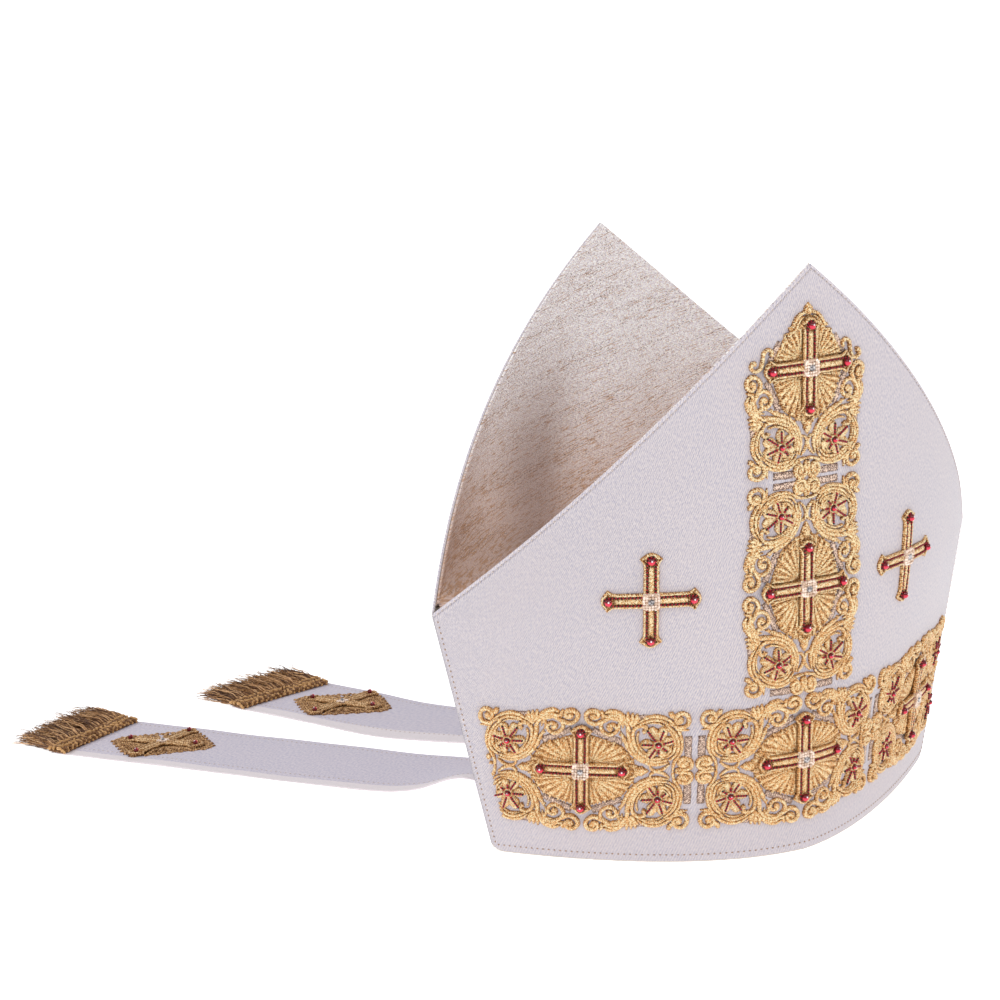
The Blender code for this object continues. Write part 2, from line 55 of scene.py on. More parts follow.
CAMERA_AT = (-0.73154, -1.22623, 0.51658)
CAMERA_RIGHT, CAMERA_UP = (0.88686, -0.46029, -0.04012), (0.14742, 0.19960, 0.96873)
FOCAL_LENGTH, SENSOR_WIDTH = 110.772, 36
to_right, upwards = Vector(CAMERA_RIGHT).normalized(), Vector(CAMERA_UP).normalized()
lens = bpy.data.cameras.new("lens")
lens.sensor_width, lens.lens, lens.clip_end = SENSOR_WIDTH, FOCAL_LENGTH, 30
camera = bpy.data.objects.new("camera", lens)
camera.matrix_world = Matrix((to_right, upwards, to_right.cross(upwards))).transposed().to_4x4()
camera.location = Vector(MITRE) + Vector(CAMERA_AT)
bpy.context.scene.collection.objects.link(camera)
bpy.context.scene.camera = camera
bpy.context.scene.view_settings.view_transform = "Standard"


class Value:
    """One output of a node. Sums with it add Math nodes."""

    def __init__(self, graph, socket):
        self.graph, self.socket = graph, socket

    def math(self, operation, *values):
        return self.graph.node("ShaderNodeMath", {"operation": operation}, dict(enumerate(values)))

    def __add__(self, other):
        return self.math("ADD", self, other)

    def __sub__(self, other):
        return self.math("SUBTRACT", self, other)

    def __mul__(self, other):
        return self.math("MULTIPLY", self, other)

    def __rsub__(self, other):
        return self.math("SUBTRACT", other, self)

    __radd__, __rmul__ = __add__, __mul__

    def sine(self):
        return self.math("SINE", self)

    def size(self):
        return self.math("ABSOLUTE", self)

    def between(self, low, high):
        """0 below low, 1 above high, and smooth between."""
        ends = {"From Min": low, "From Max": high, "Value": self}
        return self.graph.node("ShaderNodeMapRange", {"interpolation_type": "SMOOTHSTEP"}, ends)


class Graph:
    """A node tree that is being filled in."""

    def __init__(self, tree):
        self.tree = tree

    def node(self, kind, settings=None, inputs=None, out=0):
        made = self.tree.nodes.new(kind)
        for name, value in (settings or {}).items():
            if name == "stops":
                ramp = made.color_ramp
                while len(ramp.elements) < len(value):
                    ramp.elements.new(0.5)
                for stop, (place, colour) in zip(ramp.elements, value):
                    stop.position = place
                    stop.color = (*colour, 1)
            else:
                setattr(made, name, value)
        self.feed(made, inputs)
        return Value(self, made.outputs[out])

    def feed(self, node, inputs):
        for name, value in (inputs or {}).items():
            if isinstance(value, Value):
                self.tree.links.new(value.socket, node.inputs[name])
            elif isinstance(value, tuple) and len(value) == 3 and node.inputs[name].type == "RGBA":
                node.inputs[name].default_value = (*value, 1)
            else:
                node.inputs[name].default_value = value

    def mix(self, share, first, second):
        settings = {"data_type": "RGBA"}
        return self.node("ShaderNodeMix", settings, {0: share, 6: first, 7: second}, 2)

    def noise(self, where, scale, detail=2.0, rough=0.5):
        inputs = {"Vector": where, "Scale": scale, "Detail": detail, "Roughness": rough}
        return self.node("ShaderNodeTexNoise", None, inputs)

    def stretched(self, where, x, y, turn=0.0):
        """Turned, then repeated x and y times a metre."""
        inputs = {"Vector": where, "Scale": (1 / x, 1 / y, 1.0), "Rotation": (0, 0, turn)}
        return self.node("ShaderNodeMapping", {"vector_type": "TEXTURE"}, inputs)

    def parts(self, vector):
        """The X, Y and Z of a vector."""
        split = self.tree.nodes.new("ShaderNodeSeparateXYZ")
        self.tree.links.new(vector.socket, split.inputs[0])
        return [Value(self, socket) for socket in split.outputs]


class Finish(Graph):
    """A material with one Principled shader."""

    def __init__(self, name):
        self.material = bpy.data.materials.new(name)
        self.material.use_nodes = True
        super().__init__(self.material.node_tree)
        self.principled = self.tree.nodes["Principled BSDF"]

    def place(self):
        """Object coordinates, in metres."""
        return self.node("ShaderNodeTexCoord", out="Object")

    def cloth(self):
        """Metres along and up the cloth, from the piece's own map."""
        return self.node("ShaderNodeUVMap", {"uv_map": "cloth"})

    def mark(self, name, out="Fac"):
        """A value that the mesh holds at each of its points."""
        return self.node("ShaderNodeAttribute", {"attribute_name": name}, out=out)

    def relief(self, height, depth, strength=1.0):
        """A Bump node for a height from 0 to 1 and its depth in metres."""
        inputs = {"Height": height, "Distance": depth, "Strength": strength}
        self.feed(self.principled, {"Normal": self.node("ShaderNodeBump", None, inputs)})

    def set(self, **inputs):
        named = {name.replace("_", " "): value for name, value in inputs.items()}
        self.feed(self.principled, named)
        return self.material


TABLE_HALF = 12.0
table_mesh = bpy.data.meshes.new("table")
corners = [(TABLE_HALF * x, TABLE_HALF * y, 0) for x, y in ((-1, -1), (1, -1), (1, 1), (-1, 1))]
table_mesh.from_pydata(corners, [], [(0, 1, 2, 3)])
table = bpy.data.objects.new("table", table_mesh)
bpy.context.scene.collection.objects.link(table)
white = Finish("table_white")
faint = white.noise(white.place(), 3.0).between(0.2, 0.8)
white.set(
    Base_Color=white.mix(faint, (0.80, 0.80, 0.80), (0.83, 0.83, 0.83)),
    Roughness=0.85,
    Emission_Color=(1.0, 1.0, 1.0),
    Emission_Strength=0.68,
)
table_mesh.materials.append(white.material)

world = bpy.data.worlds.new("studio")
world.use_nodes = True
bpy.context.scene.world = world
studio = Graph(world.node_tree)
studio.feed(world.node_tree.nodes["Background"], {"Color": (0.98, 0.98, 1.0), "Strength": 0.62})


def softbox(name, place, aim, width, power, tint):
    """A round area light, turned towards a point."""
    light = bpy.data.lights.new(name, "AREA")
    light.shape, light.size, light.energy, light.color = "DISK", width, power, tint
    made = bpy.data.objects.new(name, light)
    made.location = place
    made.rotation_euler = (Vector(aim) - Vector(place)).to_track_quat("-Z", "Y").to_euler()
    bpy.context.scene.collection.objects.link(made)


softbox("key_light", (1.1, -1.5, 1.5), (0.0, -0.1, 0.12), 0.28, 7.2, (1.0, 0.97, 0.94))
softbox("side_light", (-0.8, -1.1, 1.6), (0.0, -0.1, 0.12), 0.35, 6.0, (1.0, 0.98, 0.97))
softbox("back_light", (-1.2, 0.9, 1.4), (-0.15, 0.12, 0.0), 1.0, 11.0, (0.98, 0.98, 1.0))

# ---- Front and back ---------------------------------------------------------------
# Two panels of stiffened satin, each bowed and ending in a pointed horn. They meet in a
# crease at each side. The satin is a very fine diagonal twill, turned over every edge with a
# narrow hem, and the head opening is lined with plain cotton.

RIM_HALF_WIDTH, SEAM_HALF_WIDTH, SEAM_HEIGHT, HORN_FLARE = 0.1220, 0.1485, 0.1210, 0.10
FRONT, BACK = -1, 1
PEAK_HEIGHT = {FRONT: 0.2796, BACK: 0.2745}
PEAK_DEPTH = {FRONT: 0.0942, BACK: 0.0975}
HORN_FULLNESS = {FRONT: 0.22, BACK: 0.16}
RIM_DEPTH = {FRONT: 0.0787, BACK: 0.0771}
BELLY = {FRONT: 0.0044, BACK: 0.0071}
RIM_POWER = {FRONT: (1.93, 1.48), BACK: (1.87, 1.87)}
HORN_POWER, POWER_FROM, POWER_TO = 2.20, 0.020, 0.160
SATIN_BOARD, RIM_CORNER = 0.0014, 0.0040
SHELL_COLUMNS, SHELL_ROWS, ROLL_ROWS = 132, 48, 5
# Down from the folded upper edge and out from the cloth, in millimetres: the hem, the groove
# that its stitches pull in, and the edge.
HEM = ((3.6, 0.0), (2.4, 0.08), (1.8, 0.12), (1.4, -0.30), (1.0, -0.30), (0.6, 0.12), (0.0, 0.10))
HEM = np.array(HEM) * 0.001


def half_width(z):
    low = RIM_HALF_WIDTH + (SEAM_HALF_WIDTH - RIM_HALF_WIDTH) * z / SEAM_HEIGHT
    return np.where(z < SEAM_HEIGHT, low, SEAM_HALF_WIDTH + HORN_FLARE * (z - SEAM_HEIGHT))


def depth_at(x, z, side):
    """Depth of a panel's outer face from the plane of the side seams."""
    share = z / PEAK_HEIGHT[side]
    middle = RIM_DEPTH[side] + (PEAK_DEPTH[side] - RIM_DEPTH[side]) * share
    middle = middle + BELLY[side] * share * (1 - share)
    climb = np.clip((z - POWER_FROM) / (POWER_TO - POWER_FROM), 0, 1)
    low_power = np.where(x > 0, RIM_POWER[side][1], RIM_POWER[side][0])
    power = low_power + (HORN_POWER - low_power) * climb * climb * (3 - 2 * climb)
    return middle * (1 - np.minimum(np.abs(x) / half_width(z), 1.0) ** power)


def wall_point(x, z, side):
    """Points on a panel's outer face, in the mitre's own place."""
    x, z = np.broadcast_arrays(np.asarray(x, float), np.asarray(z, float))
    return np.stack([x, side * (depth_at(x, z, side) + HALF_GAP), z], -1)


def unit(vectors):
    return vectors / np.maximum(np.linalg.norm(vectors, axis=-1, keepdims=True), 1e-12)


NORMAL_STEP = 0.0005


def wall_normal(x, z, side):
    across = wall_point(x + NORMAL_STEP, z, side) - wall_point(x - NORMAL_STEP, z, side)
    up = wall_point(x, z + NORMAL_STEP, side) - wall_point(x, np.maximum(z - NORMAL_STEP, 0), side)
    return unit(np.cross(across, up) * -side)


def level_normal(x, z, side):
    """The way out of a panel, level with the table, read just inside its two ends."""
    x = x * 0.998
    across = wall_point(x + NORMAL_STEP, z, side) - wall_point(x - NORMAL_STEP, z, side)
    return unit(np.cross(across, (0.0, 0.0, 1.0)) * -side)


def horn_height(x, side):
    share = 1 - np.abs(x) / SEAM_HALF_WIDTH
    fullness = 1 + HORN_FULLNESS[side] * (1 - share)
    return SEAM_HEIGHT + (PEAK_HEIGHT[side] - SEAM_HEIGHT) * share * fullness


def column_top(u, side):
    """Where the panel's column u ends on the upper edge."""
    z = np.full(np.shape(u), SEAM_HEIGHT)
    for _ in range(12):
        z = horn_height(u * half_width(z), side)
    return u * half_width(z), z


ARC_STEPS = 24


def x_at_arc(arc, z, side):
    """x at a distance along the cloth from the centre line."""
    step = np.asarray(arc) / ARC_STEPS + 1e-9
    x = np.zeros(np.shape(arc))
    for _ in range(ARC_STEPS):
        slope = (depth_at(x + step, z, side) - depth_at(x, z, side)) / step
        x = x + step / np.sqrt(1 + slope * slope)
    return x


def on_wall(places, side=FRONT):
    """Points given as distance along the cloth, height, and height above the cloth."""
    arc, z, lift = np.asarray(places, float).T
    x = x_at_arc(arc, z, side)
    return wall_point(x, z, side) + wall_normal(x, z, side) * lift[:, None] + MITRE


def grid_faces(rows, columns, closed=False):
    """Quads of a grid of points, row by row. A closed one joins its last row to its first."""
    r = np.arange(rows if closed else rows - 1)[:, None] * columns
    c = np.arange(columns - 1)[None, :]
    below = (r + c).ravel()
    above = ((r + columns) % (rows * columns) + c).ravel()
    return np.stack([below, below + 1, above + 1, above], -1)


def piece(name, points, faces, materials, uv=None, smooth=True):
    """A mesh object in place. uv holds metres along and up the cloth for each point."""
    mesh = bpy.data.meshes.new(name)
    mesh.from_pydata([tuple(p) for p in points], [], [tuple(int(i) for i in face) for face in faces])
    for material in materials:
        mesh.materials.append(material)
    if uv is not None:
        layer = mesh.uv_layers.new(name="cloth")
        corner = np.empty(len(mesh.loops), np.int32)
        mesh.loops.foreach_get("vertex_index", corner)
        layer.data.foreach_set("uv", np.asarray(uv, np.float32)[corner].ravel())
    if smooth:
        mesh.shade_smooth()
    mesh.update()
    made = bpy.data.objects.new(name, mesh)
    bpy.context.scene.collection.objects.link(made)
    return made


def arcs_of(points, axis):
    """Running distance along one axis of a grid of points."""
    steps = np.linalg.norm(np.diff(points, axis=axis), axis=-1)
    return np.concatenate([np.zeros_like(np.take(steps, [0], axis)), np.cumsum(steps, axis)], axis)


def cloth_map(points, up):
    """Distance from the middle column along each row, and up, for each point of a grid."""
    along = arcs_of(points, 1)
    along -= along[:, [points.shape[1] // 2]]
    return np.stack([along, up], -1).reshape(-1, 2)


def tinted(colour, shades):
    return tuple(min(channel * shade, 1.0) for channel, shade in zip(colour, shades))


def waves(distance, pitch, wander=0.0):
    """Even waves along a distance in metres, from -1 to 1. wander makes them waver."""
    return (distance * (2 * math.pi / pitch) + wander).sine()


TWILL_PITCH, COTTON_PITCH = 0.00125, 0.0009


def satin(name, tint, glow=0.25, hem=None):
    """Pearly satin: a fine steep twill with bluish flecks, faint slubs and a soft sheen.

    hem is the distance across a strip at which its pale hem starts.
    """
    finish = Finish(name)
    cloth = finish.cloth()
    along, up, _ = finish.parts(cloth)
    ridges = waves(along * 0.92 - up * 0.39, TWILL_PITCH, finish.noise(cloth, 300) * 2.0)
    fleck = finish.noise(finish.stretched(cloth, 640, 1250, turn=1.17), 1.0, 1.0, 0.5).between(0.36, 0.62)
    slub = finish.noise(finish.stretched(cloth, 230, 700), 1.0, 3.0)
    broad = finish.noise(cloth, 24).between(0.3, 0.7)
    # Near the rim of the front and the back the grain shows less.
    calm = 1 if hem else up.between(0.010, 0.060) * 0.45 + 0.55
    grain = (ridges * 0.33 + fleck * 0.58 - 0.30) * calm + 0.52
    ground = finish.mix(grain, tinted(tint, (0.66, 0.69, 0.84)), tinted(tint, (1.10, 1.10, 1.10)))
    ground = finish.mix(broad * 0.15, ground, tinted(tint, (1.03, 0.985, 0.98)))
    if hem:
        ground = finish.mix(up.between(hem, hem + 0.0008) * 0.75, ground, (0.84, 0.77, 0.765))
    finish.relief(ridges * 0.30 + fleck * 0.5 + slub * 0.7, 0.00010, 0.9)
    rough = 0.50 + 0.12 * slub
    return finish.set(Base_Color=ground, Roughness=rough, Sheen_Weight=glow, Sheen_Roughness=0.4)


def inner_cotton():
    """Plain woven lining of the head opening."""
    finish = Finish("head_lining")
    along, up, _ = finish.parts(finish.cloth())
    threads = waves(along, COTTON_PITCH) + waves(up, COTTON_PITCH)
    slub = finish.noise(finish.cloth(), 400, 3.0)
    finish.relief(threads * 0.3 + slub, 0.00008)
    ground = finish.mix(slub.between(0.3, 0.7), (0.56, 0.50, 0.45), (0.66, 0.60, 0.55))
    return finish.set(Base_Color=ground, Roughness=0.85)


SATIN_WHITE = (0.618, 0.562, 0.558)
satin_white = satin("satin", SATIN_WHITE)
# A lighter copy of the satin for the hem's top and the roll over each horn's edge: a painted highlight along
# the edge.
lit_satin_edge = satin("lit_satin_edge", tinted(SATIN_WHITE, (1.12, 1.12, 1.12)))
head_lining = inner_cotton()


def close_ends(made):
    """Closes the open ends of a wall, and turns its faces outwards."""
    shape = bmesh.new()
    shape.from_mesh(made.data)
    bmesh.ops.holes_fill(shape, edges=[edge for edge in shape.edges if edge.is_boundary])
    bmesh.ops.remove_doubles(shape, verts=shape.verts, dist=1e-6)
    if shape.calc_volume(signed=True) < 0:
        bmesh.ops.reverse_faces(shape, faces=shape.faces)
    shape.to_mesh(made.data)
    shape.free()
    made.data.shade_smooth()


HALF_TURN = np.linspace(0, math.pi, ROLL_ROWS + 2)[1:-1]


def panel_shell(name, side):
    """The outer face and its hem, the roll over the edge, the inner face and the rim's roll."""
    u = np.linspace(-1, 1, SHELL_COLUMNS + 1)
    u = 0.6 * u + 0.4 * np.sin(u * math.pi / 2)
    top_x, top_z = column_top(u, side)
    normal_top = level_normal(top_x, top_z, side)
    rows = []
    roll = SATIN_BOARD / 2
    # The panel's lower corners are rounded off.
    from_seam = np.clip(RIM_CORNER - (1 - np.abs(u)) * RIM_HALF_WIDTH, 0, RIM_CORNER)
    low = roll + RIM_CORNER - np.sqrt(RIM_CORNER**2 - from_seam**2)
    for share in np.linspace(0, 1, SHELL_ROWS + 1)[:-1]:
        z = low + (top_z - low - roll - HEM[0, 0]) * share
        rows.append(wall_point(u * half_width(z), z, side))
    for below, lift in HEM:
        z = top_z - roll - below
        x = u * half_width(z)
        rows.append(wall_point(x, z, side) + level_normal(x, z, side) * lift)
    for turn in HALF_TURN:
        inward, over = roll * (1 - math.cos(turn)), roll * math.sin(turn)
        edge = wall_point(top_x, top_z - roll, side) - normal_top * inward
        edge[:, 2] += over
        rows.append(edge)
    inner_from = len(rows)
    for share in np.linspace(1, 0, SHELL_ROWS // 3 + 1):
        z = low + (top_z - low - roll) * share
        x = u * half_width(z)
        rows.append(wall_point(x, z, side) - level_normal(x, z, side) * SATIN_BOARD)
    x = u * half_width(low)
    normal = level_normal(x, low, side)
    for turn in HALF_TURN:
        outward, under = roll * (1 + math.cos(turn)), roll * math.sin(turn)
        edge = wall_point(x, low, side) - normal * outward
        edge[:, 2] -= under
        rows.append(edge)
    points = np.array(rows)
    # The panel's ends are drawn in so that both panels close the crease between them.
    for row in points:
        row[:, 1] = side * np.maximum(row[:, 1] * side, HALF_GAP)
    count, columns = points.shape[:2]
    faces = grid_faces(count, columns, closed=True)
    finishes = [satin_white, head_lining, lit_satin_edge]
    uv = cloth_map(points, points[..., 2])
    made = piece(name, points.reshape(-1, 3) + MITRE, faces, finishes, uv)
    row = np.arange(len(faces)) // (columns - 1)
    # The hem's top rows and the roll over the edge take the lighter copy of the satin: a painted highlight.
    kind = np.where(row >= inner_from - 1, 1, np.where(row >= SHELL_ROWS + len(HEM) - 3, 2, 0))
    made.data.polygons.foreach_set("material_index", kind.astype(np.int32))
    close_ends(made)
    return made


front = panel_shell("satin_front", FRONT)
back = panel_shell("satin_back", BACK)
for shell, node in ((front, "front_panel"), (back, "back_panel")):
    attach(shell, "root")
    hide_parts(node)

# ---- Crown lining ------------------------------------------------------------------
# One soft piece of cream brocade, with crinkled weave and loose gold threads. It is folded
# over and sewn just behind the edge of both horns, and sinks into a valley between them.

LINING_INSET, LINING_THICK = 0.00155, 0.0014
LINING_REACH, LINING_PULL = 0.982, 0.86
VALLEY_MIDDLE, VALLEY_SIDE = 0.132, 0.126
LINING_COLUMNS, LINING_ROWS = 150, 110
CREPE_PITCH, FOLD_SHADOW_AT = 0.00135, 0.1335


def brocade():
    """Fine crepe, lilac and cream, with dark flecks in level rows, rusty threads and painted shade lower
    down.
    """
    finish = Finish("brocade")
    x, y, height = finish.parts(finish.place())
    across, along = x * 0.8 + y * 0.6, height - x * 0.22
    level = finish.node("ShaderNodeCombineXYZ", None, {0: across, 1: along, 2: 0.0})
    wander = finish.noise(level, 200)
    falling = waves(across + along, CREPE_PITCH, wander * 4.0)
    rising = waves(across - along, CREPE_PITCH, wander * 6.0)
    weave = falling.math("MAXIMUM", falling, rising)
    crepe = finish.noise(level, 1000, 2.0, 0.6).between(0.38, 0.59)
    rows = finish.noise(finish.stretched(level, 26, 190), 1.0)
    flecks = finish.noise(finish.stretched(level, 1250, 1900, turn=0.35), 1.0, 0.0)
    fleck = (flecks + rows * 0.36).between(0.865, 0.915)
    dust = (1 - flecks).between(0.60, 0.70)
    threads = finish.noise(finish.stretched(level, 170, 1900, turn=0.06), 1.0)
    low = 1 - height.between(0.125, 0.225)
    thread = (threads + rows * 0.25 + low * 0.10).between(0.725, 0.785)
    # A painted shadow along a fold of the lining, fading out higher up.
    fold = (x - height * 0.45 - float(MITRE[0] - FOLD_SHADOW_AT)).size()
    shadow = (1 - fold.between(0.002, 0.030)) * (1 - height.between(0.155, 0.240))
    crinkle = (weave * 0.26 + crepe * 0.74).between(0.0, 1.0)
    ground = finish.mix(crinkle, (0.77, 0.70, 0.75), (1.0, 0.985, 0.955))
    # Painted shade: darker and browner lower in the valley between the horns.
    ground = finish.mix(low * 0.78, ground, (0.53, 0.315, 0.225))
    ground = finish.mix(dust * 0.60, ground, (0.65, 0.42, 0.26))
    ground = finish.mix(thread * 0.70, ground, (0.48, 0.25, 0.12))
    ground = finish.mix(fleck * (0.80 - low * 0.35), ground, (0.20, 0.115, 0.08))
    ground = finish.mix(shadow * 0.66, ground, (0.27, 0.175, 0.15))
    finish.relief(weave * 0.35 + crepe * 0.8 + (1 - fleck) * 0.5, 0.00022)
    return finish.set(Base_Color=ground, Roughness=0.60 - 0.20 * thread, Metallic=thread * 0.25)


def valley(u, share, inset, drop):
    """The lining across the crown, from the front horn's edge to the back one's."""
    ends = []
    for side in (FRONT, BACK):
        x, z = column_top(u, side)
        z = z - drop
        ends.append(wall_point(x, z, side) - level_normal(x, z, side) * inset)
    start, end = ends
    bottom = VALLEY_MIDDLE + (VALLEY_SIDE - VALLEY_MIDDLE) * np.abs(u)
    pulls = [start.copy(), end.copy()]
    for pull in pulls:
        pull[:, 1] *= LINING_PULL
        pull[:, 2] = (bottom - (start[:, 2] + end[:, 2]) / 8) * 4 / 3
    rest = 1 - share
    weights = [rest**3, 3 * rest**2 * share, 3 * rest * share**2, share**3]
    return sum(w * p for w, p in zip(weights, (start, *pulls, end)))


def lining_ripples(a, share):
    """How far the seen face stands proud of its smooth curve: ripples, less a dent and a fold."""
    inner = np.sin(math.pi * np.clip(share, 0, 1)) ** 0.6 * (1 - a**4)
    dent = np.exp(-(((a - 0.42) / 0.20) ** 2) - ((share - 0.72) / 0.10) ** 2)
    fold = np.exp(-(((a + 0.30 - 0.9 * (share - 0.8)) / 0.07) ** 2) - ((share - 0.80) / 0.12) ** 2)
    ripples = np.sin(a * 9 + share * 7) * 0.5 + np.sin(a * 19 - share * 15 + 1.3) * 0.34
    ripples = ripples + np.sin(a * 31 + share * 23 + 0.4) * 0.20
    return (ripples * 0.0013 - dent * 0.0036 - fold * 0.0016) * inner


def lining_piece():
    u = LINING_REACH * np.linspace(-1, 1, LINING_COLUMNS + 1)
    roll = LINING_THICK / 2
    shares = np.linspace(0, 1, LINING_ROWS + 1)
    seen = np.array([valley(u, share, LINING_INSET + LINING_THICK, roll) for share in shares])
    shares_back = np.linspace(1, 0, LINING_ROWS // 2 + 1)
    hidden = np.array([valley(u, share, LINING_INSET, roll) for share in shares_back])
    hidden[1:-1, :, 2] -= roll
    normal = unit(np.cross(np.gradient(seen, axis=1), np.gradient(seen, axis=0)))
    normal *= np.sign(normal[LINING_ROWS // 2, LINING_COLUMNS // 2, 2])
    seen = seen + normal * lining_ripples(u[None, :], shares[:, None])[..., None]
    rolls = []
    for side, edge, back_edge in ((BACK, seen[-1], hidden[0]), (FRONT, hidden[-1], seen[0])):
        for turn in np.linspace(0, math.pi, 6)[1:-1]:
            middle, reach = (edge + back_edge) / 2, (edge - back_edge) / 2
            row = middle + reach * math.cos(turn)
            row[:, 2] += roll * math.sin(turn)
            rolls.append(row)
    points = np.concatenate([seen, rolls[:4], hidden, rolls[4:]])
    faces = grid_faces(*points.shape[:2], closed=True)
    uv = cloth_map(points, arcs_of(points, 0))
    made = piece("crown_lining", points.reshape(-1, 3) + MITRE, faces, [brocade()], uv)
    close_ends(made)
    return made


lining = lining_piece()
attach(lining, "root")
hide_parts("crown_gusset")
# The flat size is measured on the seen face.
SEEN_INSET, MEASURED_ROWS = 0.003, 60
lining_across = np.linspace(-LINING_REACH, LINING_REACH, MEASURED_ROWS)
lining_down = np.linspace(0, 1, MEASURED_ROWS)
lining_grid = np.array([valley(lining_across, share, SEEN_INSET, 0) for share in lining_down])
lining_length = float(arcs_of(lining_grid, 0)[-1].max())
lining_width = float(arcs_of(lining_grid[MEASURED_ROWS // 2][None], 1)[0, -1])

# ---- Topstitching -------------------------------------------------------------------
# A row of tan machine stitches runs a few millimetres inside the rim and inside both side
# seams, on the front and the back, and a row of pale ones under each horn's folded edge.


def grain_tree():
    """A smooth grain at each point, turned by its directions and scaled by its size."""
    tree = bpy.data.node_groups.new("grains", "GeometryNodeTree")
    sockets = {"Places": "Geometry", "Around": "Int", "Rings": "Int", "Finish": "Material"}
    for name, kind in sockets.items():
        tree.interface.new_socket(name, in_out="INPUT", socket_type="NodeSocket" + kind)
    tree.interface.new_socket("Grains", in_out="OUTPUT", socket_type="NodeSocketGeometry")
    graph = Graph(tree)
    given = tree.nodes.new("NodeGroupInput")
    places, around, rings, finish = (Value(graph, socket) for socket in given.outputs[:4])

    def named(name):
        settings = {"data_type": "FLOAT_VECTOR"}
        return graph.node("GeometryNodeInputNamedAttribute", settings, {"Name": name})

    inputs = {"Segments": around, "Rings": rings, "Radius": 1.0}
    ball = graph.node("GeometryNodeMeshUVSphere", None, inputs)
    axes = {"Primary Axis": named("above"), "Secondary Axis": named("along")}
    turn = graph.node("FunctionNodeAxesToRotation", {"primary_axis": "Z", "secondary_axis": "X"}, axes)
    settings = {"data_type": "FLOAT_VECTOR", "domain": "POINT"}
    inputs = {"Geometry": ball, "Name": "spot", "Value": graph.node("GeometryNodeInputPosition")}
    ball = graph.node("GeometryNodeStoreNamedAttribute", settings, inputs)
    inputs = {"Points": places, "Instance": ball, "Rotation": turn, "Scale": named("size")}
    grains = graph.node("GeometryNodeInstanceOnPoints", None, inputs)
    smooth = graph.node("GeometryNodeSetShadeSmooth", None, {"Geometry": grains})
    real = graph.node("GeometryNodeRealizeInstances", None, {"Geometry": smooth})
    painted = graph.node("GeometryNodeSetMaterial", None, {"Geometry": real, "Material": finish})
    result = tree.nodes.new("NodeGroupOutput")
    tree.links.new(painted.socket, result.inputs["Grains"])
    return tree


GRAINS = grain_tree()


def strewn(name, places, along, above, size, finish, around=8, rings=4):
    """Stitches or beads: one grain at each place. size is half its length, width and height."""
    mesh = bpy.data.meshes.new(name)
    mesh.from_pydata([tuple(p) for p in places], [], [])
    for label, values in (("along", along), ("above", above), ("size", size)):
        layer = mesh.attributes.new(label, "FLOAT_VECTOR", "POINT")
        values = np.broadcast_to(np.asarray(values, np.float32), (len(places), 3))
        layer.data.foreach_set("vector", values.ravel())
    made = bpy.data.objects.new(name, mesh)
    bpy.context.scene.collection.objects.link(made)
    modifier = made.modifiers.new("grains", "NODES")
    modifier.node_group = GRAINS
    given = {"Around": around, "Rings": rings, "Finish": finish}
    for socket in GRAINS.interface.items_tree:
        if socket.in_out == "INPUT" and socket.name in given:
            modifier[socket.identifier] = given[socket.name]
    seen = bpy.context.evaluated_depsgraph_get()
    result = bpy.data.meshes.new_from_object(made.evaluated_get(seen), depsgraph=seen)
    made.modifiers.clear()
    made.data = result
    for label in ("along", "above", "size"):
        if label in result.attributes:
            result.attributes.remove(result.attributes[label])
    return made


def eased(points, step, least=3):
    """Even steps along a smooth curve through a few points."""
    points = np.asarray(points, float)
    ends = np.concatenate([[2 * points[0] - points[1]], points, [2 * points[-1] - points[-2]]])
    t = (np.arange(16) / 16)[:, None]
    fine = []
    for a, b, c, d in zip(ends, ends[1:], ends[2:], ends[3:]):
        bend = (2 * a - 5 * b + 4 * c - d) * t**2 + (3 * b - a - 3 * c + d) * t**3
        fine.append(b + ((c - a) * t + bend) / 2)
    fine = np.concatenate([*fine, points[-1:]])
    run = np.concatenate([[0], np.cumsum(np.linalg.norm(np.diff(fine, axis=0), axis=1))])
    at = np.linspace(0, run[-1], max(least, round(run[-1] / step) + 1))
    return np.stack([np.interp(at, run, column) for column in fine.T], -1)


def stitched(name, path, above, pitch, size, finish, slant=0.0, first=0.5):
    """A row of stitches along a path of points, each turned by slant on the cloth."""
    run = arcs_of(np.asarray(path)[None], 1)[0]
    at = np.arange(pitch * first, run[-1], pitch)
    places = np.stack([np.interp(at, run, column) for column in np.asarray(path).T], -1)
    way = unit(np.stack([np.interp(at, run, column) for column in np.gradient(path, axis=0).T], -1))
    up = unit(np.stack([np.interp(at, run, column) for column in np.asarray(above).T], -1))
    turned = way * math.cos(slant) + np.cross(up, way) * math.sin(slant)
    return strewn(name, places, turned, up, size, finish)


def joined(name, parts):
    """Several meshes as one piece."""
    with bpy.context.temp_override(active_object=parts[0], selected_editable_objects=parts):
        bpy.ops.object.join()
    parts[0].name = parts[0].data.name = name
    return parts[0]


def spun_thread(name, light, dark, pitch=0.0005, metal=0.0, rough=0.6):
    """Thread for stitches and cords, with its twist."""
    finish = Finish(name)
    place = finish.place()
    x, y, z = finish.parts(place)
    twist = waves(x + y + z * 1.3, pitch) * 0.5 + 0.5
    fuzz = finish.noise(place, 1800, 3.0)
    finish.relief(twist * 0.6 + fuzz * 0.6, 0.00010)
    ground = finish.mix((twist * 0.6 + fuzz * 0.7).between(0.25, 1.0), dark, light)
    return finish.set(Base_Color=ground, Roughness=rough, Metallic=metal)


pale_thread = spun_thread("pale_thread", (0.70, 0.61, 0.57), (0.54, 0.45, 0.41))
tan_thread = spun_thread("tan_thread", (0.48, 0.33, 0.24), (0.28, 0.17, 0.11))
STITCH_PITCH, STITCH_SIZE = 0.0028, (0.00055, 0.00042, 0.00026)
RIM_STITCH_HEIGHT, SEAM_STITCH_INSET, EDGE_STITCH_INSET = 0.0038, 0.0021, 0.0012
SEAM_STEP = 0.0001


